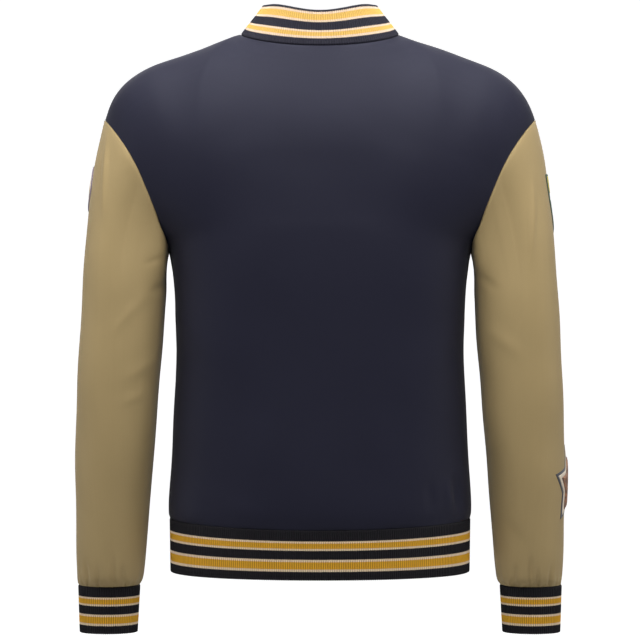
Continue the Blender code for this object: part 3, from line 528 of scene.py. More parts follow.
def underarm_drape(points, distances):
    """Lets the cloth hang over the underarm's bend, which it would bridge, not follow."""
    x, z = np.abs(points[..., 0]), points[..., 2]
    share = np.exp(-(((z - DRAPE_Z) / DRAPE_HEIGHT) ** 2)) * eased((x - DRAPE_START) / DRAPE_RUN)
    share = share * eased(np.minimum(distances["right"], distances["left"]) / DRAPE_FADE)
    draped = points.copy()
    for _ in range(DRAPE_PASSES):
        middle = draped[1:-1, 1:-1]
        round_it = draped[:-2, 1:-1] + draped[2:, 1:-1] + draped[1:-1, :-2] + draped[1:-1, 2:]
        draped[1:-1, 1:-1] = middle + share[1:-1, 1:-1, None] * (round_it / 4 - middle)
    return draped


def dress_panel(points, normals, cut, distances, creases, seed):
    """Lays the creases, the slack and the puckers on a panel."""
    x, z = points[..., 0], points[..., 2]
    points = underarm_drape(points, distances)
    height = soft_lines(x, z, creases) + slack(x, z, seed, PANEL_SLACK)
    height += puckers(cut[..., 0], distances["hem"], seed + 1, *HEM_PUCKERS)
    height += puckers(cut[..., 1], distances["right"], seed + 2, *SIDE_PUCKERS)
    fade = 1.0
    for edge in ("hem", "right", "top", "left"):
        fade = fade * eased(distances[edge] / EDGE_FADE)
    return points + (height * fade)[..., None] * normals


EDGES = ("left", "right", "hem", "top")
points, normals, cut, distances = panel(1, lambda s: -1 + 0 * s, BACK_COLUMNS, EDGES)
points = dress_panel(points, normals, cut, distances, BACK_CREASES, 11)
points, cut = points[:, ::-1], cut[:, ::-1]
back = cloth_piece("back_panel", points, cut)
sew_cloth(back, navy_satin, navy_wrong_side, ["back"])

# ---------------------------------------------------------------- fronts
# Two panels of the same satin, mirror images but for the closure: the wearer's left one laps
# over the right by twice the lap and lies outside it. Each free edge is folded back on itself.
LAP = 0.0175
LAP_LIFT, LAP_END = 0.0028, 2.1  # how far the lap is lifted, and where that ends, in laps
FRONT_COLUMNS = 72

FRONT_CREASES = (
    (0.120, -0.600, 0.176, -0.560, 0.009, -0.0010),
    (0.060, -0.606, 0.105, -0.575, 0.009, 0.0009),
    (0.175, -0.262, 0.110, -0.310, 0.011, -0.0013),
    (0.165, -0.245, 0.095, -0.270, 0.010, 0.0009),
    (0.178, -0.350, 0.120, -0.430, 0.015, 0.0012),
    (0.085, -0.120, 0.140, -0.190, 0.016, -0.0010),
    (0.050, -0.330, 0.085, -0.520, 0.020, 0.0010),
)


def lap_share(s):
    """The u at which each section is a lap's width from the centre line."""
    low, high = 0 * s, 0 * s + 0.5
    for _ in range(24):
        middle = (low + high) / 2
        short = body_points(-1, middle, s)[..., 0] < LAP
        low, high = np.where(short, middle, low), np.where(short, high, middle)
    return low


def lap_lift(x):
    return LAP_LIFT * eased((LAP_END - x / LAP) / (LAP_END - 1))


for side, node in ((1, "front_left"), (-1, "front_right")):
    lift = lap_lift if side > 0 else None
    points, normals, cut, distances = panel(-1, lambda s: -lap_share(s), FRONT_COLUMNS, EDGES, lift)
    points = dress_panel(points, normals, cut, distances, FRONT_CREASES, 21 + side)
    if side < 0:
        points, cut = points[:, ::-1] * MIRROR, cut[:, ::-1] * (-1, 1)
    front = cloth_piece(node + "_panel", points, cut)
    sew_cloth(front, navy_satin, navy_wrong_side, [node])

# ---------------------------------------------------------------- sleeves
# Each sleeve is one tube of tan satin, set in the armhole and hanging nearly straight. Its lower
# edge is gathered into the cuff, over which it blouses a little.
RINGS = (
    # z, inner, outer, middle_y, half_depth
    (-0.3340, 0.1955, 0.3008, 0.0000, 0.0740),
    (-0.3900, 0.1990, 0.3042, 0.0000, 0.0715),
    (-0.4420, 0.2040, 0.3070, -0.0010, 0.0690),
    (-0.4930, 0.2080, 0.3100, -0.0030, 0.0665),
    (-0.5440, 0.2122, 0.3114, -0.0060, 0.0625),
    (-0.5950, 0.2162, 0.3116, -0.0100, 0.0580),
    (-0.6460, 0.2204, 0.3114, -0.0150, 0.0530),
    (-0.6770, 0.2234, 0.3108, -0.0180, 0.0490),
    (-0.6928, 0.2258, 0.3100, -0.0195, 0.0450),
    (-0.7012, 0.2300, 0.3088, -0.0205, 0.0350),
)
SLEEVE_COLUMNS = 200
ARM_RADIUS = 0.064
SLEEVE_SLACK = 0.0006
CAP_PUCKERS = (0.0003, 0.022, 0.008)
TOP_COLUMNS, TOP_SPREAD = 14, 6  # columns to each side over which the top of the arm is evened out
TOP_ANGLE, TOP_START = 0.28, 0.025  # its fade in radians from the top, and its run from the seam
GATHER_PITCH, GATHER_DEPTH, GATHER_REACH = 0.0125, 0.0034, 0.011
GATHER_FADE = 8  # how soon the gathers set in beside the arm's outermost line
WRIST_FADE = 0.003
FLAT_BACK = 0.0055  # how far the sleeve stands out of its oval at both sides of its flatter back
FLAT_TOP, FLAT_TOP_RUN = -0.12, 0.18  # the level where that sets in, and its run to the full
FLAT_END = np.array((-0.53, -0.60))  # where it ends, on the outer and on the inner side
FLAT_END_RUN = np.array((0.10, 0.14))

# Each line's places are x on the back of the +X sleeve, or -x on its front, and z.
SLEEVE_CREASES = {
    1: (
        (0.2655, -0.116, 0.2672, -0.248, 0.0032, 0.0028),
        (0.2960, -0.664, 0.2930, -0.712, 0.0030, -0.0030),
        (0.2790, -0.668, 0.2800, -0.712, 0.0030, -0.0022),
        (0.2600, -0.655, 0.2610, -0.716, 0.0028, -0.0032),
        (0.2490, -0.668, 0.2460, -0.712, 0.0030, -0.0030),
        (0.192, -0.280, 0.222, -0.296, 0.0040, -0.0012),
        (0.188, -0.308, 0.220, -0.334, 0.0050, -0.0014),
        (0.206, -0.316, 0.264, -0.388, 0.0060, 0.0012),
        (0.200, -0.404, 0.254, -0.444, 0.0060, 0.0012),
        (0.218, -0.450, 0.252, -0.470, 0.0050, 0.0012),
        (0.250, -0.640, 0.272, -0.676, 0.0080, -0.0009),
        (-0.200, -0.300, -0.245, -0.350, 0.008, -0.0012),
        (-0.215, -0.330, -0.262, -0.390, 0.009, 0.0011),
        (-0.270, -0.150, -0.274, -0.250, 0.004, 0.0009),
        (-0.228, -0.640, -0.256, -0.600, 0.009, 0.0010),
    ),
    -1: (
        (0.2645, -0.176, 0.2610, -0.304, 0.0030, 0.0024),
        (0.2640, -0.655, 0.2660, -0.714, 0.0030, -0.0032),
        (0.2460, -0.668, 0.2420, -0.714, 0.0030, -0.0030),
        (0.2730, -0.672, 0.2760, -0.714, 0.0028, -0.0028),
        (0.2920, -0.668, 0.2890, -0.712, 0.0030, -0.0024),
        (0.192, -0.296, 0.226, -0.330, 0.0050, -0.0012),
        (0.210, -0.368, 0.254, -0.414, 0.0080, 0.0013),
        (0.228, -0.610, 0.262, -0.655, 0.0080, -0.0009),
        (-0.200, -0.292, -0.240, -0.336, 0.008, -0.0012),
        (-0.212, -0.340, -0.258, -0.402, 0.009, 0.0010),
        (-0.268, -0.160, -0.272, -0.260, 0.004, 0.0009),
    ),
}


def ring_points(row, angle):
    """Places on the level rings: angle 0 is outermost, a right angle is at the back."""
    z, inner, outer, middle_y, depth = rows_at(RINGS, row)
    half, middle = (outer - inner) / 2, (outer + inner) / 2
    return vec(middle + half * np.cos(angle), middle_y + depth * np.sin(angle), z)


def cap_points(angle, t):
    """The sleeve's cap, between the armhole and the first level ring."""
    turn = np.mod(angle, 2 * math.pi)
    behind = (turn <= math.pi)[..., None]
    back_start, back_leave, _ = armhole(1, np.clip(1 - turn / math.pi, 0, 1))
    front_start, front_leave, _ = armhole(-1, np.clip(turn / math.pi - 1, 0, 1))
    start, leave = np.where(behind, back_start, front_start), np.where(behind, back_leave, front_leave)
    end = ring_points(0 * t, angle)
    run = unit(ring_points(0 * t + 0.5, angle) - end)
    reach = np.linalg.norm(end - start, axis=-1, keepdims=True)
    return hermite(t, start, reach * leave, end, reach * run)


def sleeve_points(angle, t):
    """The outside of the +X sleeve. t is 0 at the armhole, 1 at the first level ring and one
    more at each ring below it."""
    angle, t = np.broadcast_arrays(np.asarray(angle, float), np.asarray(t, float))
    points = ring_points(np.maximum(t - 1, 0), angle)
    cap = t < 1
    if cap.any():
        points[cap] = cap_points(angle[cap], t[cap])
    return points


def round_top(points, angle, down):
    """Evens out the bend where the cap's front and back halves meet on top of the arm."""
    ring, reach = points[:, :-1], np.arange(-TOP_COLUMNS, TOP_COLUMNS + 1)
    weights = np.exp(-((reach / TOP_SPREAD) ** 2))
    even = sum(w * np.roll(ring, k, axis=1) for k, w in zip(reach, weights / weights.sum()))
    from_top = np.minimum(angle, 2 * math.pi - angle)[:-1]
    share = np.exp(-((from_top / TOP_ANGLE) ** 2)) * eased(down[:, :-1] / TOP_START)
    ring = ring + share[..., None] * (even - ring)
    return np.concatenate([ring, ring[:, :1]], axis=1)


def sleeve_grid():
    """The plain tube of the +X sleeve from the armhole down, its normals and its columns' angles."""
    fine = np.linspace(0, len(RINGS), 301)
    run = run_along(sleeve_points(0.4 * math.pi, fine), 0)
    t = np.interp(seam_steps(run[-1], round(run[-1] / ROW_STEP)), run, fine)
    angle = np.linspace(0, 2 * math.pi, SLEEVE_COLUMNS + 1)
    points = sleeve_points(angle, t[:, None])
    points = round_top(points, angle, run_along(points, 0))
    normals = grid_normals(points, closed=True)
    if (normals[len(t) // 2, 0] @ np.array((1.0, 0.0, 0.0))) < 0:
        normals = -normals
    return points, normals, angle


def dress_sleeve(points, normals, angle, creases, seed):
    """Lays creases, slack, the flat back and the gathers on a sleeve, and turns its ends in."""
    across, down = run_along(points, 1), run_along(points, 0)
    left = down[-1:] - down
    arm = np.broadcast_to(angle * ARM_RADIUS, across.shape)
    x, z = points[..., 0] * np.where(angle <= math.pi, 1, -1), points[..., 2]
    height = soft_lines(x, z, creases) + slack(1.3 * points[..., 0] + points[..., 1], z, seed, SLEEVE_SLACK)
    inner = (angle > math.pi / 2).astype(int)
    flat = np.where(angle < math.pi, np.sin(2 * angle) ** 2, 0.0) * eased((FLAT_TOP - z) / FLAT_TOP_RUN)
    height += FLAT_BACK * (flat * eased((z - FLAT_END[inner]) / FLAT_END_RUN[inner]))
    gathers = puckers(arm, left, seed + 1, GATHER_DEPTH, GATHER_PITCH, GATHER_REACH)
    gathers += puckers(arm, down, seed + 2, *CAP_PUCKERS)
    gathers = gathers * eased(np.sin(angle / 2) * GATHER_FADE)
    height += gathers - 0.5 * GATHER_DEPTH * np.exp(-left / GATHER_REACH)
    height *= eased(down / EDGE_FADE) * eased(left / WRIST_FADE)
    height[:, -1] = height[:, 0]
    share = angle / math.pi
    behind = (angle <= math.pi)[:, None]
    back_mitre = armhole(1, np.clip(1 - share, 0, 1))[2]
    mitre = np.where(behind, back_mitre, armhole(-1, np.clip(share - 1, 0, 1))[2])
    for distance, way in ((down, mitre[None]), (left, unit(normals[-1:] * (1, 1, 0)))):
        lean = np.clip(1 - distance / LEAN_WIDTH, 0, 1)[..., None]
        points = points - turned(distance)[..., None] * unit(normals * (1 - lean) + way * lean)
    return points + height[..., None] * normals, np.stack([across, -down], axis=-1)


TAN = (0.352, 0.262, 0.127)
tan_satin = satin("tan satin", TAN, 0.58, 0.10)
tan_wrong_side = satin("tan satin wrong side", tuple(0.7 * c for c in TAN), 0.70, 0.05)

plain, plain_normals, angle = sleeve_grid()
sleeves = {}
for side, node in ((1, "sleeve_left"), (-1, "sleeve_right")):
    points, cut = dress_sleeve(plain, plain_normals, angle, SLEEVE_CREASES[side], 31 + side)
    if side < 0:
        points, cut = points * MIRROR, cut * (-1, 1)
    else:
        points, cut = points[:, ::-1], cut[:, ::-1]
    sleeve = cloth_piece(node + "_tube", points, cut, closed=True)
    sew_cloth(sleeve, tan_satin, tan_wrong_side, [node])
    sleeves[side] = sleeve

# ---------------------------------------------------------------- waistband
# Rib knit, folded double and stretched round the hem: close ribs of smooth yarn in navy with gold
# stripes edged in white. It closes under the placket with the last snap.
RIB_RISE, RIB_WALL, RIB_STEP = 0.0008, 0.0014, 0.0003
RIB_ROLL = (RIB_RISE + RIB_WALL) / 2  # half the folded knit's thickness
RIB_SAMPLES = 6  # points across a rib
RIB_ROUND = 0.6  # below 1 the ribs are broader than the valleys between them
KNIT_ROWS, FOLD_ROWS, INNER_ROWS = 10, 7, 6  # rows up the strip, round its fold and back down inside
TUCK, TUCK_START, TUCK_DEPTH = 0.0012, 0.0011, 0.0015  # how far the seam edge goes in under the satin
CLIMB = 0.01  # the small step up the strip over which its slope is measured
BAND_LOW_Z, BAND_TAPER = -0.6812, 0.0010
BAND_RIBS = 380
SEAM = 0.0003  # the knit starts this far from the satin's edge


def knit_strip(name, place, ribs, height, closed):
    """Folded knit. place(share, height) gives places along the seam line and up the strip, the
    way out there and the way in to the strip's inner side."""
    sewn_in = np.array((-TUCK, -0.0004, 0.0001, 0.0005, TUCK_START))
    rise = np.concatenate([sewn_in, np.linspace(0.0025, height - RIB_ROLL, KNIT_ROWS)]) / height
    turns = np.linspace(0, math.pi, FOLD_ROWS)[1:-1]
    inner = np.linspace(1 - RIB_ROLL / height, -TUCK / height, INNER_ROWS)
    level = np.concatenate([rise, np.full(len(turns), rise[-1]), inner, rise[:1]])[:, None]
    turn = np.concatenate([0 * rise, turns, 0 * inner + math.pi, [0.0]])[:, None]
    share = np.linspace(0, 1, ribs * RIB_SAMPLES + 1)
    base, out, depth = place(share[None], level)
    length = run_along(base[:1], 1)[0]
    from_end = np.minimum(length, length[-1] - length) if not closed else 0 * length + 1.0
    crown = (0.5 + 0.5 * np.cos(2 * math.pi * share * ribs)) ** RIB_ROUND
    sewn = 0.4 + 0.6 * eased(level * height / 0.004)
    whole = np.sqrt(1 - np.clip(1 - from_end / RIB_ROLL, 0, 1) ** 2)
    half = (RIB_ROLL - RIB_RISE * (1 - crown) * sewn) * whole
    roll = TUCK_DEPTH * eased((TUCK_START - level * height) / (TUCK_START + TUCK)) * (np.cos(turn) > 0.5)
    inwards = RIB_ROLL - np.cos(turn) * half + roll * whole
    beyond = np.sin(turn) * half / height
    up = place(share[None], level + CLIMB)[0] - base
    points = base + RIB_STEP * out + inwards[..., None] * depth + (beyond / CLIMB)[..., None] * up
    along = np.broadcast_to(share * ribs, beyond.shape)
    return points, np.stack([along, np.broadcast_to(level + beyond, along.shape)], axis=-1)


def closed_piece(name, points, cut):
    """A grid that folds back on itself as one closed body, its points joined where they meet."""
    piece = cloth_piece(name, points, cut)
    shape = bmesh.new()
    shape.from_mesh(piece.data)
    bmesh.ops.remove_doubles(shape, verts=shape.verts, dist=2e-6)
    bmesh.ops.recalc_face_normals(shape, faces=shape.faces)
    shape.to_mesh(piece.data)
    shape.free()
    return piece


def build_knit_group():
    """Rib knit on the strip's own UV, U counting ribs and V the share of its height: the V-shaped
    stitches of each course, the valleys between ribs, and how far a stripe's edge follows them."""
    inputs = {"Place": ("Vector", None), "Courses": ("Float", 40.0)}
    outputs = {"Height": "Float", "Valley": "Float", "Shift": "Float"}
    group, given, sent = new_group("rib stitches", inputs, outputs)
    do = partial(calc, group)
    place = add(group, "ShaderNodeSeparateXYZ", {0: given["Place"]}).outputs
    from_crest = do("ABSOLUTE", do("SUBTRACT", do("FRACT", do("ADD", place[0], 0.5)), 0.5))
    valley = do("POWER", do("MULTIPLY", from_crest, 2.0), 2.2)
    course = do("MULTIPLY_ADD", place[1], given["Courses"], do("MULTIPLY", from_crest, 1.4))
    height = do("MULTIPLY", ridges(group, course), do("MULTIPLY_ADD", valley, -0.8, 1.0))
    group.links.new(height, sent["Height"])
    group.links.new(valley, sent["Valley"])
    group.links.new(do("DIVIDE", do("MULTIPLY", from_crest, 0.9), given["Courses"]), sent["Shift"])
    return group


KNIT = build_knit_group()
NAVY_YARN = (0.0086, 0.0078, 0.0110)
GOLD_YARN = (0.690, 0.360, 0.022)
WHITE_YARN = (0.820, 0.640, 0.465)


def rib_knit(name, courses, navy, stripes, depth=0.72):
    """Knit in yarns that change at the given shares of its height, with painted shade in the valleys between
    its ribs.
    """
    shine = {"sheen_weight": 0.03, "sheen_roughness": 0.5, "specular_ior_level": 0.15}
    material, tree, shader = new_finish(name, 0.75, **shine)
    place = add(tree, "ShaderNodeUVMap", uv_map="cut").outputs[0]
    knit = add(tree, "ShaderNodeGroup", {"Place": place, "Courses": courses}, node_tree=KNIT).outputs
    height = add(tree, "ShaderNodeSeparateXYZ", {0: place}).outputs[1]
    ramp = add(tree, "ShaderNodeValToRGB", {0: calc(tree, "ADD", height, knit["Shift"])})
    ramp.color_ramp.interpolation = "CONSTANT"
    elements = ramp.color_ramp.elements
    elements[0].color = (*navy, 1.0)
    elements.remove(elements[1])
    for share, yarn in stripes:
        elements.new(share).color = (*yarn, 1.0)
    # painted shade: the colour is darkened in the valleys between ribs, by depth at the deepest, on top of
    # their bumped relief
    shade = calc(tree, "MULTIPLY_ADD", knit["Valley"], -depth, 1.0)
    fleck = calc(tree, "MULTIPLY_ADD", noise(tree, place, 14.0, 3.0), 0.24, 0.88)
    paint(tree, shader, ramp.outputs["Color"], calc(tree, "MULTIPLY", shade, fleck))
    emboss(tree, shader, knit["Height"], 0.6, 0.0004)
    return material


def striped(shares, white, gold, navy):
    """Stripes from the seam: white, gold, white, navy, twice over."""
    order = (white, gold, white, navy)
    return [(share, order[k % 4]) for k, share in enumerate(shares)]


def finish_knit(piece, material, node):
    piece.data.materials.append(material)
    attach(piece, "root")
    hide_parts(node)


BAND_STRIPES = (0.212, 0.252, 0.362, 0.402, 0.580, 0.626, 0.776, 0.822)
band_stripes = striped(BAND_STRIPES, WHITE_YARN, GOLD_YARN, NAVY_YARN)
band_knit = rib_knit("waistband and cuff knit", 40.0, NAVY_YARN, band_stripes)


def hem_line():
    """The hem's places and its ways out, from the lap of the left front round the back."""
    near = np.linspace(-float(lap_share(np.array([0.0]))[0]), 0, 6)[:-1]
    front = np.linspace(0, 1, 120)
    behind = front[::-1]
    places = [body_points(-1, near, 0.0), body_points(-1, front, 0.0), body_points(1, behind, 0.0)[1:]]
    ways = [body_normals(-1, -near, 0.0) * MIRROR, body_normals(-1, front, 0.0)]
    ways.append(body_normals(1, behind, 0.0)[1:])
    places, ways = np.concatenate(places), unit(np.concatenate(ways) * (1, 1, 0))
    return (np.concatenate([half, half[-2::-1] * MIRROR]) for half in (places, ways))


def read_line(line, values, share):
    """Values that belong to the points of a line, read at shares of its length."""
    run = run_along(line, 0)
    return np.stack([np.interp(share * run[-1], run, values[:, k]) for k in range(3)], axis=-1)


hem, hem_ways = hem_line()


def band_place(share, height):
    place, out = read_line(hem, hem, share), unit(read_line(hem, hem_ways, share))
    lifted = (place[..., 1] < 0) & (share < 0.5)
    lift = np.where(lifted, lap_lift(place[..., 0]), 0.0)[..., None]
    low = place * (1, 1, 0) + BAND_LOW_Z * UP - BAND_TAPER * out
    top = place - SEAM * UP
    return top + (low - top) * np.asarray(height)[..., None] + lift * out, out, -out


band_height = SECTIONS[0][0] - BAND_LOW_Z - SEAM
points, cut = knit_strip("waistband", band_place, BAND_RIBS, band_height, False)
band = closed_piece("waistband_knit", points, cut)
finish_knit(band, band_knit, "waistband")

# ---------------------------------------------------------------- cuffs
# A tube of the same knit round each wrist, folded double and narrower than the sleeve.
CUFF_TOP_Z = -0.7017
CUFF_EDGE = (-0.7618, 0.2335, 0.3072, -0.0230, 0.0310)
CUFF_RIBS = 82
cuff_height = CUFF_TOP_Z - CUFF_EDGE[0]


def cuff_place(share, height):
    top = np.array((CUFF_TOP_Z, *RINGS[-1][1:]))
    ring = top + (np.array(CUFF_EDGE) - top) * np.asarray(height)[..., None]
    z, inner, outer, middle_y, depth = np.moveaxis(ring, -1, 0)
    half, middle, turn = (outer - inner) / 2, (outer + inner) / 2, 2 * math.pi * share
    out = unit(vec(np.cos(turn) / half, np.sin(turn) / depth, 0))
    return vec(middle + half * np.cos(turn), middle_y + depth * np.sin(turn), z), out, -out


for side, node in ((1, "cuff_left"), (-1, "cuff_right")):
    points, cut = knit_strip(node, cuff_place, CUFF_RIBS, cuff_height, True)
    cuff = closed_piece(node + "_knit", points * (side, 1, 1), cut)
    finish_knit(cuff, band_knit, node)

# ---------------------------------------------------------------- collar
# A low stand-up band of finer-striped knit round the neckline, folded double, its front corners
# rounded and meeting at the centre line.
COLLAR_HEIGHT, COLLAR_GAP, COLLAR_CORNER = 0.0470, 0.0015, 0.012
CORNER_REACH, CORNER_WIDTH = 0.016, 0.035  # how much its turn at each shoulder is rounded off, and how far
NECK_POINTS = 80  # along a quarter of the neckline
EVEN_POINTS, EVEN_REACH = 800, 60  # along the whole line that is rounded, and to each side in a mean
NECK_EASE = 0.30
COLLAR_RIBS = 188
COLLAR_NAVY_PAINTED_LIT = (0.0145, 0.0140, 0.0240)  # the collar's yarns are finer; their colours are set paler and greyer than the band's as painted light, for the collar's brightly lit look under the light from above
COLLAR_GOLD_PAINTED_LIT = (0.595, 0.375, 0.088)
COLLAR_WHITE_PAINTED_LIT = (0.640, 0.490, 0.370)
COLLAR_STRIPES = (0.182, 0.243, 0.358, 0.407, 0.640, 0.697, 0.868, 0.928)
collar_stripes = striped(COLLAR_STRIPES, COLLAR_WHITE_PAINTED_LIT, COLLAR_GOLD_PAINTED_LIT, COLLAR_NAVY_PAINTED_LIT)
# the collar's rib valleys take less painted shade (0.45) than the band's, for the same brightly lit look
collar_knit = rib_knit("collar knit", 31.0, COLLAR_NAVY_PAINTED_LIT, collar_stripes, 0.45)


def neck_line():
    """The neckline's places, the collar's ways up and out and its mitre, from the left front's
    centre line round the back to the right front's."""
    angle = np.linspace(0, math.pi / 2, NECK_POINTS)
    left = neck_points(-1, angle)
    lift = lap_lift(left[:, 0])[:, None] * unit(body_normals(-1, angle / math.pi, CREST) * (1, 1, 0))
    front, back = np.stack(neck_frame(-1, angle)), np.stack(neck_frame(1, angle))[:, ::-1]
    behind = neck_points(1, angle[::-1])
    places = [left + lift, behind[1:], behind[-2::-1] * MIRROR, left[-2::-1] * MIRROR]
    frames = [front, back[:, 1:], back[:, -2::-1] * MIRROR, front[:, -2::-1] * MIRROR]
    return np.concatenate(places), np.concatenate(frames, axis=1)


neck, (neck_ups, neck_outs, neck_mitres) = neck_line()
neck_run = run_along(neck, 0)[-1]


def eased_corner(line):
    """The line with its turns at both shoulders made rounder: the knit's free edge bends less
    sharply than the seam it stands on."""
    run = run_along(line, 0)
    middles = run[[NECK_POINTS - 1, -NECK_POINTS]]
    even = np.linspace(0, run[-1], EVEN_POINTS)
    values = np.stack([np.interp(even, run, line[:, k]) for k in range(3)], axis=-1)
    reach = np.arange(-EVEN_REACH, EVEN_REACH + 1)
    weights = np.exp(-((reach * even[1] / CORNER_REACH) ** 2))
    weights = weights / weights.sum()
    padded = np.pad(values, ((EVEN_REACH, EVEN_REACH), (0, 0)), mode="edge")
    smooth = np.stack([np.convolve(padded[:, k], weights, "valid") for k in range(3)], axis=-1)
    near = sum(np.exp(-(((even - middle) / CORNER_WIDTH) ** 2)) for middle in middles)[:, None]
    return values + (smooth - values) * np.minimum(near, 1.0)


round_neck = eased_corner(neck)


def collar_place(share, height):
    share = (COLLAR_GAP + (neck_run - 2 * COLLAR_GAP) * share) / neck_run
    base, way = read_line(neck, neck, share), read_line(neck, neck_ups, share)
    out, mitre = read_line(neck, neck_outs, share), read_line(neck, neck_mitres, share)
    from_end = np.minimum(share, 1 - share) * neck_run - COLLAR_GAP
    inside = np.clip(COLLAR_CORNER - from_end, 0, COLLAR_CORNER)
    cut_off = (COLLAR_CORNER - np.sqrt(COLLAR_CORNER**2 - inside**2))[..., None]
    height = np.asarray(height)[..., None]
    base = base + (read_line(round_neck, round_neck, share) - base) * eased(height)
    place = base + (1.5 * SEAM + height * (COLLAR_HEIGHT - cut_off)) * way
    seam_way = NECK_EASE * way - mitre
    return place, out, seam_way + (-out - seam_way) * np.clip(height, 0, 1)


points, cut = knit_strip("collar", collar_place, COLLAR_RIBS, COLLAR_HEIGHT, False)
collar = closed_piece("collar_knit", points, cut)
finish_knit(collar, collar_knit, "collar")

# ---------------------------------------------------------------- snaps
# Seven pressed caps of dark enamelled metal, clinched through the left front's folded edge and
# the waistband: a rolled rim, a shallow groove and a low dome.
SNAP_RADIUS, SNAP_HEIGHT = 0.0075, 0.0028
SEAT_SPOTS = 24  # spots round a cap's foot at which the cloth is felt for
SEAT_SINK = 0.0002  # how far the rim of a clinched cap presses into the cloth
SNAP_COUNT, CAP_STEPS = 7, 40
SNAP_PROFILE = (
    # radius and height, as shares of the cap's
    (0.0, 1.0), (0.30, 0.97), (0.55, 0.86), (0.70, 0.72), (0.76, 0.62), (0.80, 0.62), (0.85, 0.72),
    (0.91, 0.74), (0.97, 0.60), (1.0, 0.38), (0.98, 0.14), (0.92, 0.0), (0.5, 0.0), (0.0, 0.0),
)


def enamel(name, colour):
    material, tree, shader = new_finish(name, 0.3, coat_weight=0.4, coat_roughness=0.15)
    place = add(tree, "ShaderNodeTexCoord").outputs["Object"]
    scuffs = noise(tree, place, 900.0, 4.0)
    tree.links.new(calc(tree, "MULTIPLY_ADD", scuffs, 0.25, 0.2), shader["Roughness"])
    paint(tree, shader, colour, calc(tree, "MULTIPLY_ADD", scuffs, 0.4, 0.8))
    return material


snap_enamel = enamel("dark snap enamel", (0.020, 0.020, 0.026))


def snap_cap(name, place, out):
    shape = bmesh.new()
    verts = [shape.verts.new((r * SNAP_RADIUS, 0, h * SNAP_HEIGHT)) for r, h in SNAP_PROFILE]
    edges = [shape.edges.new(pair) for pair in zip(verts, verts[1:])]
    whole_turn = {"cent": (0, 0, 0), "axis": UP, "angle": 2 * math.pi, "steps": CAP_STEPS, "use_merge": True}
    bmesh.ops.spin(shape, geom=verts + edges, **whole_turn)
    bmesh.ops.remove_doubles(shape, verts=shape.verts, dist=1e-6)
    bmesh.ops.recalc_face_normals(shape, faces=shape.faces)
    side = unit(np.cross((0.0, 0.0, 1.0), out))
    turn = np.stack([side, np.cross(out, side), out], axis=-1)
    for vert in shape.verts:
        vert.co = turn @ np.array(vert.co) + place
    cap = new_piece(name, shape)
    cap.data.materials.append(snap_enamel)
    return cap


def surface_of(piece):
    """A piece's faces, for a ray to be cast onto."""
    mesh = piece.data
    return BVHTree.FromPolygons([v.co for v in mesh.vertices], [p.vertices for p in mesh.polygons])


def seat(surface, x, z):
    """Where a cap's foot rests on the front of the cloth, and the way out of the cloth there."""
    spots = []
    for turn in np.linspace(0, 2 * math.pi, SEAT_SPOTS, endpoint=False):
        start = (x + SNAP_RADIUS * math.cos(turn), -1.0, z + SNAP_RADIUS * math.sin(turn))
        spots.append(surface.ray_cast(start, (0.0, 1.0, 0.0))[0])
    middle = np.mean(spots, axis=0)
    out = np.linalg.svd(np.array(spots) - middle)[2][-1]
    out = -np.sign(out[1]) * out
    rise = ((np.array(spots) - middle) @ out).max()
    return middle + (rise - SEAT_SINK) * out, out


placket, band_face = surface_of(bpy.data.objects["front_left_panel"]), surface_of(band)
for number in range(1, SNAP_COUNT + 1):
    low, high = (np.array(corner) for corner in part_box(f"snap_{number}"))
    surface = placket if number < SNAP_COUNT else band_face
    foot, out = seat(surface, (low[0] + high[0]) / 2, (low[2] + high[2]) / 2)
    cap = snap_cap(f"snap_cap_{number}", foot, out)
    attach(cap, "root")
    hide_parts(f"snap_{number}")

# ---------------------------------------------------------------- patches on the sleeves
# Sewn-on badges of generic design: a tufted star on felt low on the right sleeve, a corded shield
# above it, and a round felt one on the left. Each layer lies on the one below.
PATCH_LINE = -0.06  # radians before the outermost line of the sleeve
STAR_VALLEY = 0.56
WAVE_RATE = 3.2  # about as many waves in a unit as a wave texture has at scale 1
SLEEVE_START, SLEEVE_END = 0.02, len(RINGS) - 0.5  # as far as a patch is looked for along the sleeve
RING_PASSES = 4  # corrections by which a place on the sleeve comes to its level
LINE_NUDGE = 0.05  # radians to each side, over which the sleeve's run round the arm is measured
FEEL_FROM, FEEL_DEPTH = 0.012, 0.002  # the cloth is felt for from outside, down to just under the form
FAR = 9.0  # further than any patch


def sleeve_places(x, y, z):
    """Places on the plain +X sleeve, x round the arm from the patches' line and y above z."""

    def ring_at(angle, t):
        for _ in range(RING_PASSES):
            level = sleeve_points(angle, t)[..., 2]
            slope = (sleeve_points(angle, t + 0.01)[..., 2] - level) / 0.01
            t = np.clip(t + (z + y - level) / slope, SLEEVE_START, SLEEVE_END)
        return t

    line = 0 * x + PATCH_LINE
    fine = np.linspace(SLEEVE_START, SLEEVE_END, 400)
    t = np.interp(-(z + y), -sleeve_points(0 * fine + PATCH_LINE, fine)[:, 2], fine)
    either_side = sleeve_points(line + LINE_NUDGE, t) - sleeve_points(line - LINE_NUDGE, t)
    angle = line + x / (np.linalg.norm(either_side, axis=-1) / (2 * LINE_NUDGE))
    t = ring_at(angle, t)
    down = sleeve_points(angle, t + 0.02) - sleeve_points(angle, np.maximum(t - 0.02, 0))
    round_arm = sleeve_points(angle + 0.02, t) - sleeve_points(angle - 0.02, t)
    return sleeve_points(angle, t), unit(np.cross(down, round_arm))


def star_edge(size):
    """A five-pointed star's outline as a distance at each angle, drawn in evenly by an inset."""
    step, valley = math.pi / 5, STAR_VALLEY * size
    area = size * valley * math.sin(step)
    across = area / math.hypot(size - valley * math.cos(step), valley * math.sin(step))

    def edge(turn, inset):
        within = np.abs(np.mod(turn - math.pi / 2 + step, 2 * step) - step)
        reach = area / (size * np.sin(within) + valley * np.sin(step - within))
        return reach * (1 - inset / across)

    return edge


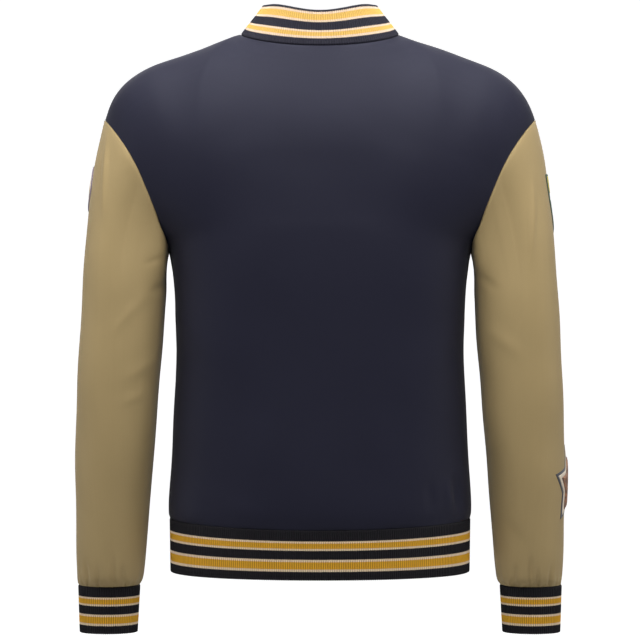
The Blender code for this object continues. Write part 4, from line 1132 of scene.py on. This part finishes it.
def polygon_edge(points, size, middle):
    """The same for an outline with corners, seen from a middle inside it."""
    corners = size * np.array(points) - np.array(middle)
    ends = np.roll(corners, -1, axis=0)
    along = unit(ends - corners)
    outwards = np.stack([along[:, 1], -along[:, 0]], axis=-1)
    distance = (corners * outwards).sum(axis=-1)

    def edge(turn, inset):
        facing = np.cos(turn)[..., None] * outwards[:, 0] + np.sin(turn)[..., None] * outwards[:, 1]
        apart = distance - np.asarray(inset)[..., None]
        return np.where(facing > 1e-6, apart / np.maximum(facing, 1e-6), FAR).min(axis=-1)

    return edge


def patch_layer(node, edge, centre, side, z, level, thick, surface, columns, rows, relief):
    """One closed layer of a patch: its top face, its rounded edge and its underside."""
    turn = np.linspace(0, 2 * math.pi, columns + 1)[None]
    round_over = np.linspace(0, math.pi / 2, 5)[:, None]
    share = np.concatenate([np.linspace(0, 1, rows)[:, None], 1 + 0 * round_over, [[0.0]]])
    inset = np.concatenate([np.full((rows, 1), thick), thick * (1 - np.sin(round_over)), [[0.0]]])
    height = np.concatenate([np.ones((rows, 1)), np.cos(round_over), [[0.0]]])
    reach = np.maximum(edge(turn, inset), 0.0) * share
    x, y = centre[0] + reach * np.cos(turn), centre[1] + reach * np.sin(turn)
    places, out = sleeve_places(side * x, y, z)
    mirror = np.array((side, 1, 1))
    lifts = np.zeros(x.shape)
    for index in np.ndindex(x.shape):
        start = (places[index] + FEEL_FROM * out[index]) * mirror
        hit = surface.ray_cast(start.tolist(), (-out[index] * mirror).tolist())
        lifts[index] = max(FEEL_FROM - hit[3], -FEEL_DEPTH) if hit[3] else 0.0
    lift = lifts + level + thick * height
    from_edge = edge(turn, 0.0) - reach
    if relief:
        lift = lift + relief(x, y, from_edge, turn) * (height > 0.99)
    points = (places + lift[..., None] * out) * mirror
    cut = np.stack([np.broadcast_to(turn * 0.04, x.shape), np.broadcast_to(from_edge, x.shape)], axis=-1)
    return closed_piece(node + "_layer", points, cut)


def felt(name, colour, nap, mottle=0.0, other=(0.0, 0.0, 0.0)):
    """Felted or tufted wool: a short nap, with two dyes mixed where it is mottled."""
    material, tree, shader = new_finish(name, 0.9, sheen_weight=0.25, sheen_roughness=0.6)
    place = add(tree, "ShaderNodeTexCoord").outputs["Object"]
    hair = noise(tree, place, 1400.0, 3.0)
    mixed = calc(tree, "MULTIPLY", calc(tree, "SUBTRACT", noise(tree, place, 170.0, 2.0), 0.42), 6.0)
    mixed = calc(tree, "MULTIPLY", calc(tree, "MAXIMUM", calc(tree, "MINIMUM", mixed, 1.0), 0.0), mottle)
    blend = add(tree, "ShaderNodeMix", {0: mixed, 6: (*colour, 1.0), 7: (*other, 1.0)}, data_type="RGBA")
    paint(tree, shader, blend.outputs[2], calc(tree, "MULTIPLY_ADD", hair, 0.5, 0.75))
    emboss(tree, shader, hair, nap, 0.0006)
    return material


def thread(name, colour, turn, pitch):
    """Close satin stitches laid side by side, in the way that turn gives on the patch."""
    material, tree, shader = new_finish(name, 0.55, sheen_weight=0.1, sheen_roughness=0.4)
    place = add(tree, "ShaderNodeTexCoord").outputs["Object"]
    laid = add(tree, "ShaderNodeMapping", {"Vector": place, "Rotation": (turn, 0.0, 0.0)})
    waves = {"Vector": laid.outputs[0], "Scale": 0.5 / pitch / WAVE_RATE, "Distortion": 0.6, "Detail": 1.0}
    lines = add(tree, "ShaderNodeTexWave", waves, bands_direction="Z").outputs["Fac"]
    paint(tree, shader, colour, calc(tree, "MULTIPLY_ADD", lines, 0.35, 0.78))
    emboss(tree, shader, lines, 0.5, 0.0003)
    return material


YARNS = {
    # by the name of their slot
    "navy_felt": felt("navy felt", (0.020, 0.022, 0.035), 0.5),
    "cream_felt": felt("cream felt", (0.640, 0.540, 0.420), 0.5),
    "rust_chenille": felt("rust chenille", (0.330, 0.140, 0.060), 0.9, 0.8, (0.090, 0.040, 0.025)),
    "green_edge": thread("green edge thread", (0.030, 0.060, 0.035), 0.7, 0.0009),
    "mauve_edge": thread("mauve edge thread", (0.210, 0.170, 0.210), 0.7, 0.0009),
    "yellow_thread": thread("yellow thread", (0.620, 0.500, 0.080), 0.0, 0.0008),
    "pale_thread": thread("pale thread", (0.620, 0.690, 0.680), 0.0, 0.0008),
}

STAR_SIZE, STAR_Z = 0.0520, -0.5730
STAR_MIDDLE = (-0.0060, 0.0)  # a little behind the line of the others
SHIELD_SIZE, SHIELD_Z = 0.0400, -0.2170
ROUNDEL_SIZE, ROUNDEL_Z = 0.0300, -0.1970
MARGIN = 0.0030  # of a badge's corded edge, inside which its field lies
TUFT_PITCH, TUFT_DEPTH = 0.0024, 0.0005
RING_PITCH, RING_RISE, RING_WIDTH, RING_PLACE = 0.0020, 0.0007, 0.0012, 0.40 * ROUNDEL_SIZE
CORD_WIDTH, CORD_RISE = 0.0030, 0.0008


def tufts(x, y, from_edge, turn):
    """Rows of looped yarn that follow the outline inwards."""
    rows = np.sin(2 * math.pi * from_edge / TUFT_PITCH)
    return TUFT_DEPTH * (rows + 0.6 * np.sin(x * 2300 + 5 * y) * np.sin(y * 2100))


def stitched_rings(x, y, from_edge, turn):
    """A round badge's plain filling: rings of stitching with a raised one halfway in."""
    raised = np.exp(-(((from_edge - RING_PLACE) / RING_WIDTH) ** 2))
    return RING_RISE * raised + 0.00012 * np.sin(2 * math.pi * from_edge / RING_PITCH)


def cord_edge(x, y, from_edge, turn):
    """The overlocked edge, a raised cord round the patch."""
    across = np.clip(1 - np.abs(from_edge / CORD_WIDTH * 2 - 1), 0, 1)
    return CORD_RISE * np.sin(math.pi / 2 * across)


SHIELD_HALVES = {
    "shield": ((0.0, -1.0), (0.38, -0.78), (0.68, -0.42), (0.80, 0.0), (0.82, 0.5), (0.84, 0.92), (0.0, 1.0)),
    "chief": ((0.0, 0.28), (0.815, 0.28), (0.82, 0.5), (0.84, 0.92), (0.0, 1.0)),
    "field": ((0.0, -1.0), (0.38, -0.78), (0.68, -0.42), (0.80, 0.0), (0.812, 0.20), (0.0, 0.20)),
}


def shield_edge(part, size, middle):
    half = SHIELD_HALVES[part]
    return polygon_edge([*half, *[(-x, y) for x, y in reversed(half[1:-1])]], size, middle)


def round_edge(size):
    return lambda turn, inset: size - inset + 0 * turn


def drawn_in(edge, margin):
    return lambda turn, inset: edge(turn, inset + margin)


star, roundel = star_edge(STAR_SIZE), round_edge(ROUNDEL_SIZE)
shield = shield_edge("shield", SHIELD_SIZE, (0, 0))
CHIEF_MIDDLE, FIELD_MIDDLE = (0.0, 0.60 * SHIELD_SIZE), (0.0, -0.30 * SHIELD_SIZE)
chief = shield_edge("chief", SHIELD_SIZE, CHIEF_MIDDLE)
field = shield_edge("field", SHIELD_SIZE, FIELD_MIDDLE)
PATCHES = (
    # side, the middle's z and the layers: node, outline, how far it is drawn in, middle, level,
    # thickness, slot, columns, rows and relief; each level is 0.1 mm under the top of the cloth or
    # layer that it is sewn down on
    (-1, STAR_Z, (
        ("star_base", star, 0.0, STAR_MIDDLE, -0.0001, 0.0008, "navy_felt", 160, 8, None),
        ("star_border", star, 0.0035, STAR_MIDDLE, 0.0006, 0.0008, "cream_felt", 160, 8, None),
        ("star_chenille", star, 0.0080, STAR_MIDDLE, 0.0013, 0.0018, "rust_chenille", 320, 52, tufts),
    )),
    (-1, SHIELD_Z, (
        ("shield_base", shield, 0.0, (0, 0), -0.0001, 0.0010, "green_edge", 160, 30, cord_edge),
        ("shield_chief", chief, MARGIN, CHIEF_MIDDLE, 0.0008, 0.0008, "yellow_thread", 96, 8, None),
        ("shield_field", field, MARGIN, FIELD_MIDDLE, 0.0008, 0.0008, "pale_thread", 120, 8, None),
    )),
    (1, ROUNDEL_Z, (
        ("roundel_base", roundel, 0.0, (0, 0), -0.0001, 0.0010, "mauve_edge", 120, 24, cord_edge),
        ("roundel_field", roundel, MARGIN, (0, 0), 0.0008, 0.0008, "cream_felt", 120, 60, stitched_rings),
    )),
)

for side, z, layers in PATCHES:
    surface = surface_of(sleeves[side])
    for node, outline, margin, centre, level, thick, slot, columns, rows, relief in layers:
        edge = drawn_in(outline, margin)
        layer = patch_layer(node, edge, centre, side, z, level, thick, surface, columns, rows, relief)
        layer.data.materials.append(YARNS[slot])
        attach(layer, "root")
        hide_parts(node)

# ---------------------------------------------------------------- studio
# A white seamless sweep under six soft lights: a broad one overhead, two above the camera's side of
# the jacket, one at each of its sides and a fill on its front. The camera looks level at the back.
CAMERA_Y, CAMERA_Z = 3.0, -0.3632
FLOOR_Z, SWEEP_Y, SWEEP_RADIUS = -1.10, -5.6, 0.8
WALL_ROWS, BEND_ROWS = 14, 16  # rows of the sweep up its wall and round its bend
WALL_STEP, FLOOR_STEP = 0.35, 1.2  # from row to row
AIR_LIGHT = 0.02  # the white room's light on the cloth
LENS, SENSOR = 132.87, 36.0  # mm
LIGHTS = (
    # name, place, what it is aimed at, size, power
    ("overhead", (0.0, 0.12, 0.85), (0.0, 0.10, -0.20), (1.6, 0.7), 24.0),
    ("front fill", (0.0, -1.8, 0.6), (0.0, 0.0, -0.30), (2.4, 1.4), 18.0),
    ("left key", (0.55, 1.25, 0.85), (0.10, 0.0, -0.25), (0.7, 0.7), 16.5),
    ("left side", (1.7, 0.05, -0.25), (0.0, 0.0, -0.30), (0.8, 1.0), 8.0),
    ("right key", (-0.55, 1.25, 0.85), (-0.10, 0.0, -0.25), (0.7, 0.7), 18.5),
    ("right side", (-1.7, 0.05, -0.25), (0.0, 0.0, -0.30), (0.8, 1.0), 8.0),
)


def build_sweep():
    """The floor, which curves up into the backdrop."""
    shape = bmesh.new()
    bmesh.ops.create_grid(shape, x_segments=1, y_segments=40, size=6.0)
    rows = sorted({round(v.co.y, 6) for v in shape.verts})
    for vert in shape.verts:
        k = rows.index(round(vert.co.y, 6))
        if k <= WALL_ROWS:
            vert.co.y = SWEEP_Y - SWEEP_RADIUS
            vert.co.z = FLOOR_Z + SWEEP_RADIUS + (WALL_ROWS - k) * WALL_STEP
        elif k < WALL_ROWS + BEND_ROWS:
            turn = (k - WALL_ROWS) / BEND_ROWS * math.pi / 2
            vert.co.y = SWEEP_Y - SWEEP_RADIUS * math.cos(turn)
            vert.co.z = FLOOR_Z + SWEEP_RADIUS * (1 - math.sin(turn))
        else:
            vert.co.y, vert.co.z = SWEEP_Y + (k - WALL_ROWS - BEND_ROWS) * FLOOR_STEP, FLOOR_Z
    sweep = new_piece("studio_sweep", shape)
    material, tree, shader = new_finish("white sweep", 0.9)
    shader["Base Color"].default_value = (0.50, 0.50, 0.50, 1.0)
    shader["Emission Color"].default_value = (1.0, 1.0, 1.0, 1.0)
    tree.links.new(add(tree, "ShaderNodeLightPath").outputs["Is Camera Ray"], shader["Emission Strength"])
    sweep.data.materials.append(material)


def area_light(name, place, target, size, power):
    lamp = bpy.data.lights.new(name, "AREA")
    lamp.shape = "RECTANGLE"
    lamp.size, lamp.size_y = size
    lamp.energy = power
    light = bpy.data.objects.new(name, lamp)
    bpy.context.scene.collection.objects.link(light)
    light.location = place
    away = [a - b for a, b in zip(place, target)]
    light.rotation_euler = Vector(away).to_track_quat("Z", "Y").to_euler()


build_sweep()
for light in LIGHTS:
    area_light(*light)

world = bpy.data.worlds.new("studio air")
world.use_nodes = True
bpy.context.scene.world = world
air = world.node_tree
seen = add(air, "ShaderNodeLightPath").outputs["Is Camera Ray"]
strength = calc(air, "MULTIPLY_ADD", seen, 1.0 - AIR_LIGHT, AIR_LIGHT)
air.links.new(strength, air.nodes["Background"].inputs[1])
air.nodes["Background"].inputs[0].default_value = (1.0, 1.0, 1.0, 1.0)
bpy.context.scene.view_settings.view_transform = "Standard"

lens = bpy.data.cameras.new("camera")
lens.lens = LENS
lens.sensor_width = SENSOR
camera = bpy.data.objects.new("camera", lens)
bpy.context.scene.collection.objects.link(camera)
camera.location = (0.0, CAMERA_Y, CAMERA_Z)
camera.rotation_euler = (math.radians(90), 0.0, math.radians(180))
bpy.context.scene.camera = camera
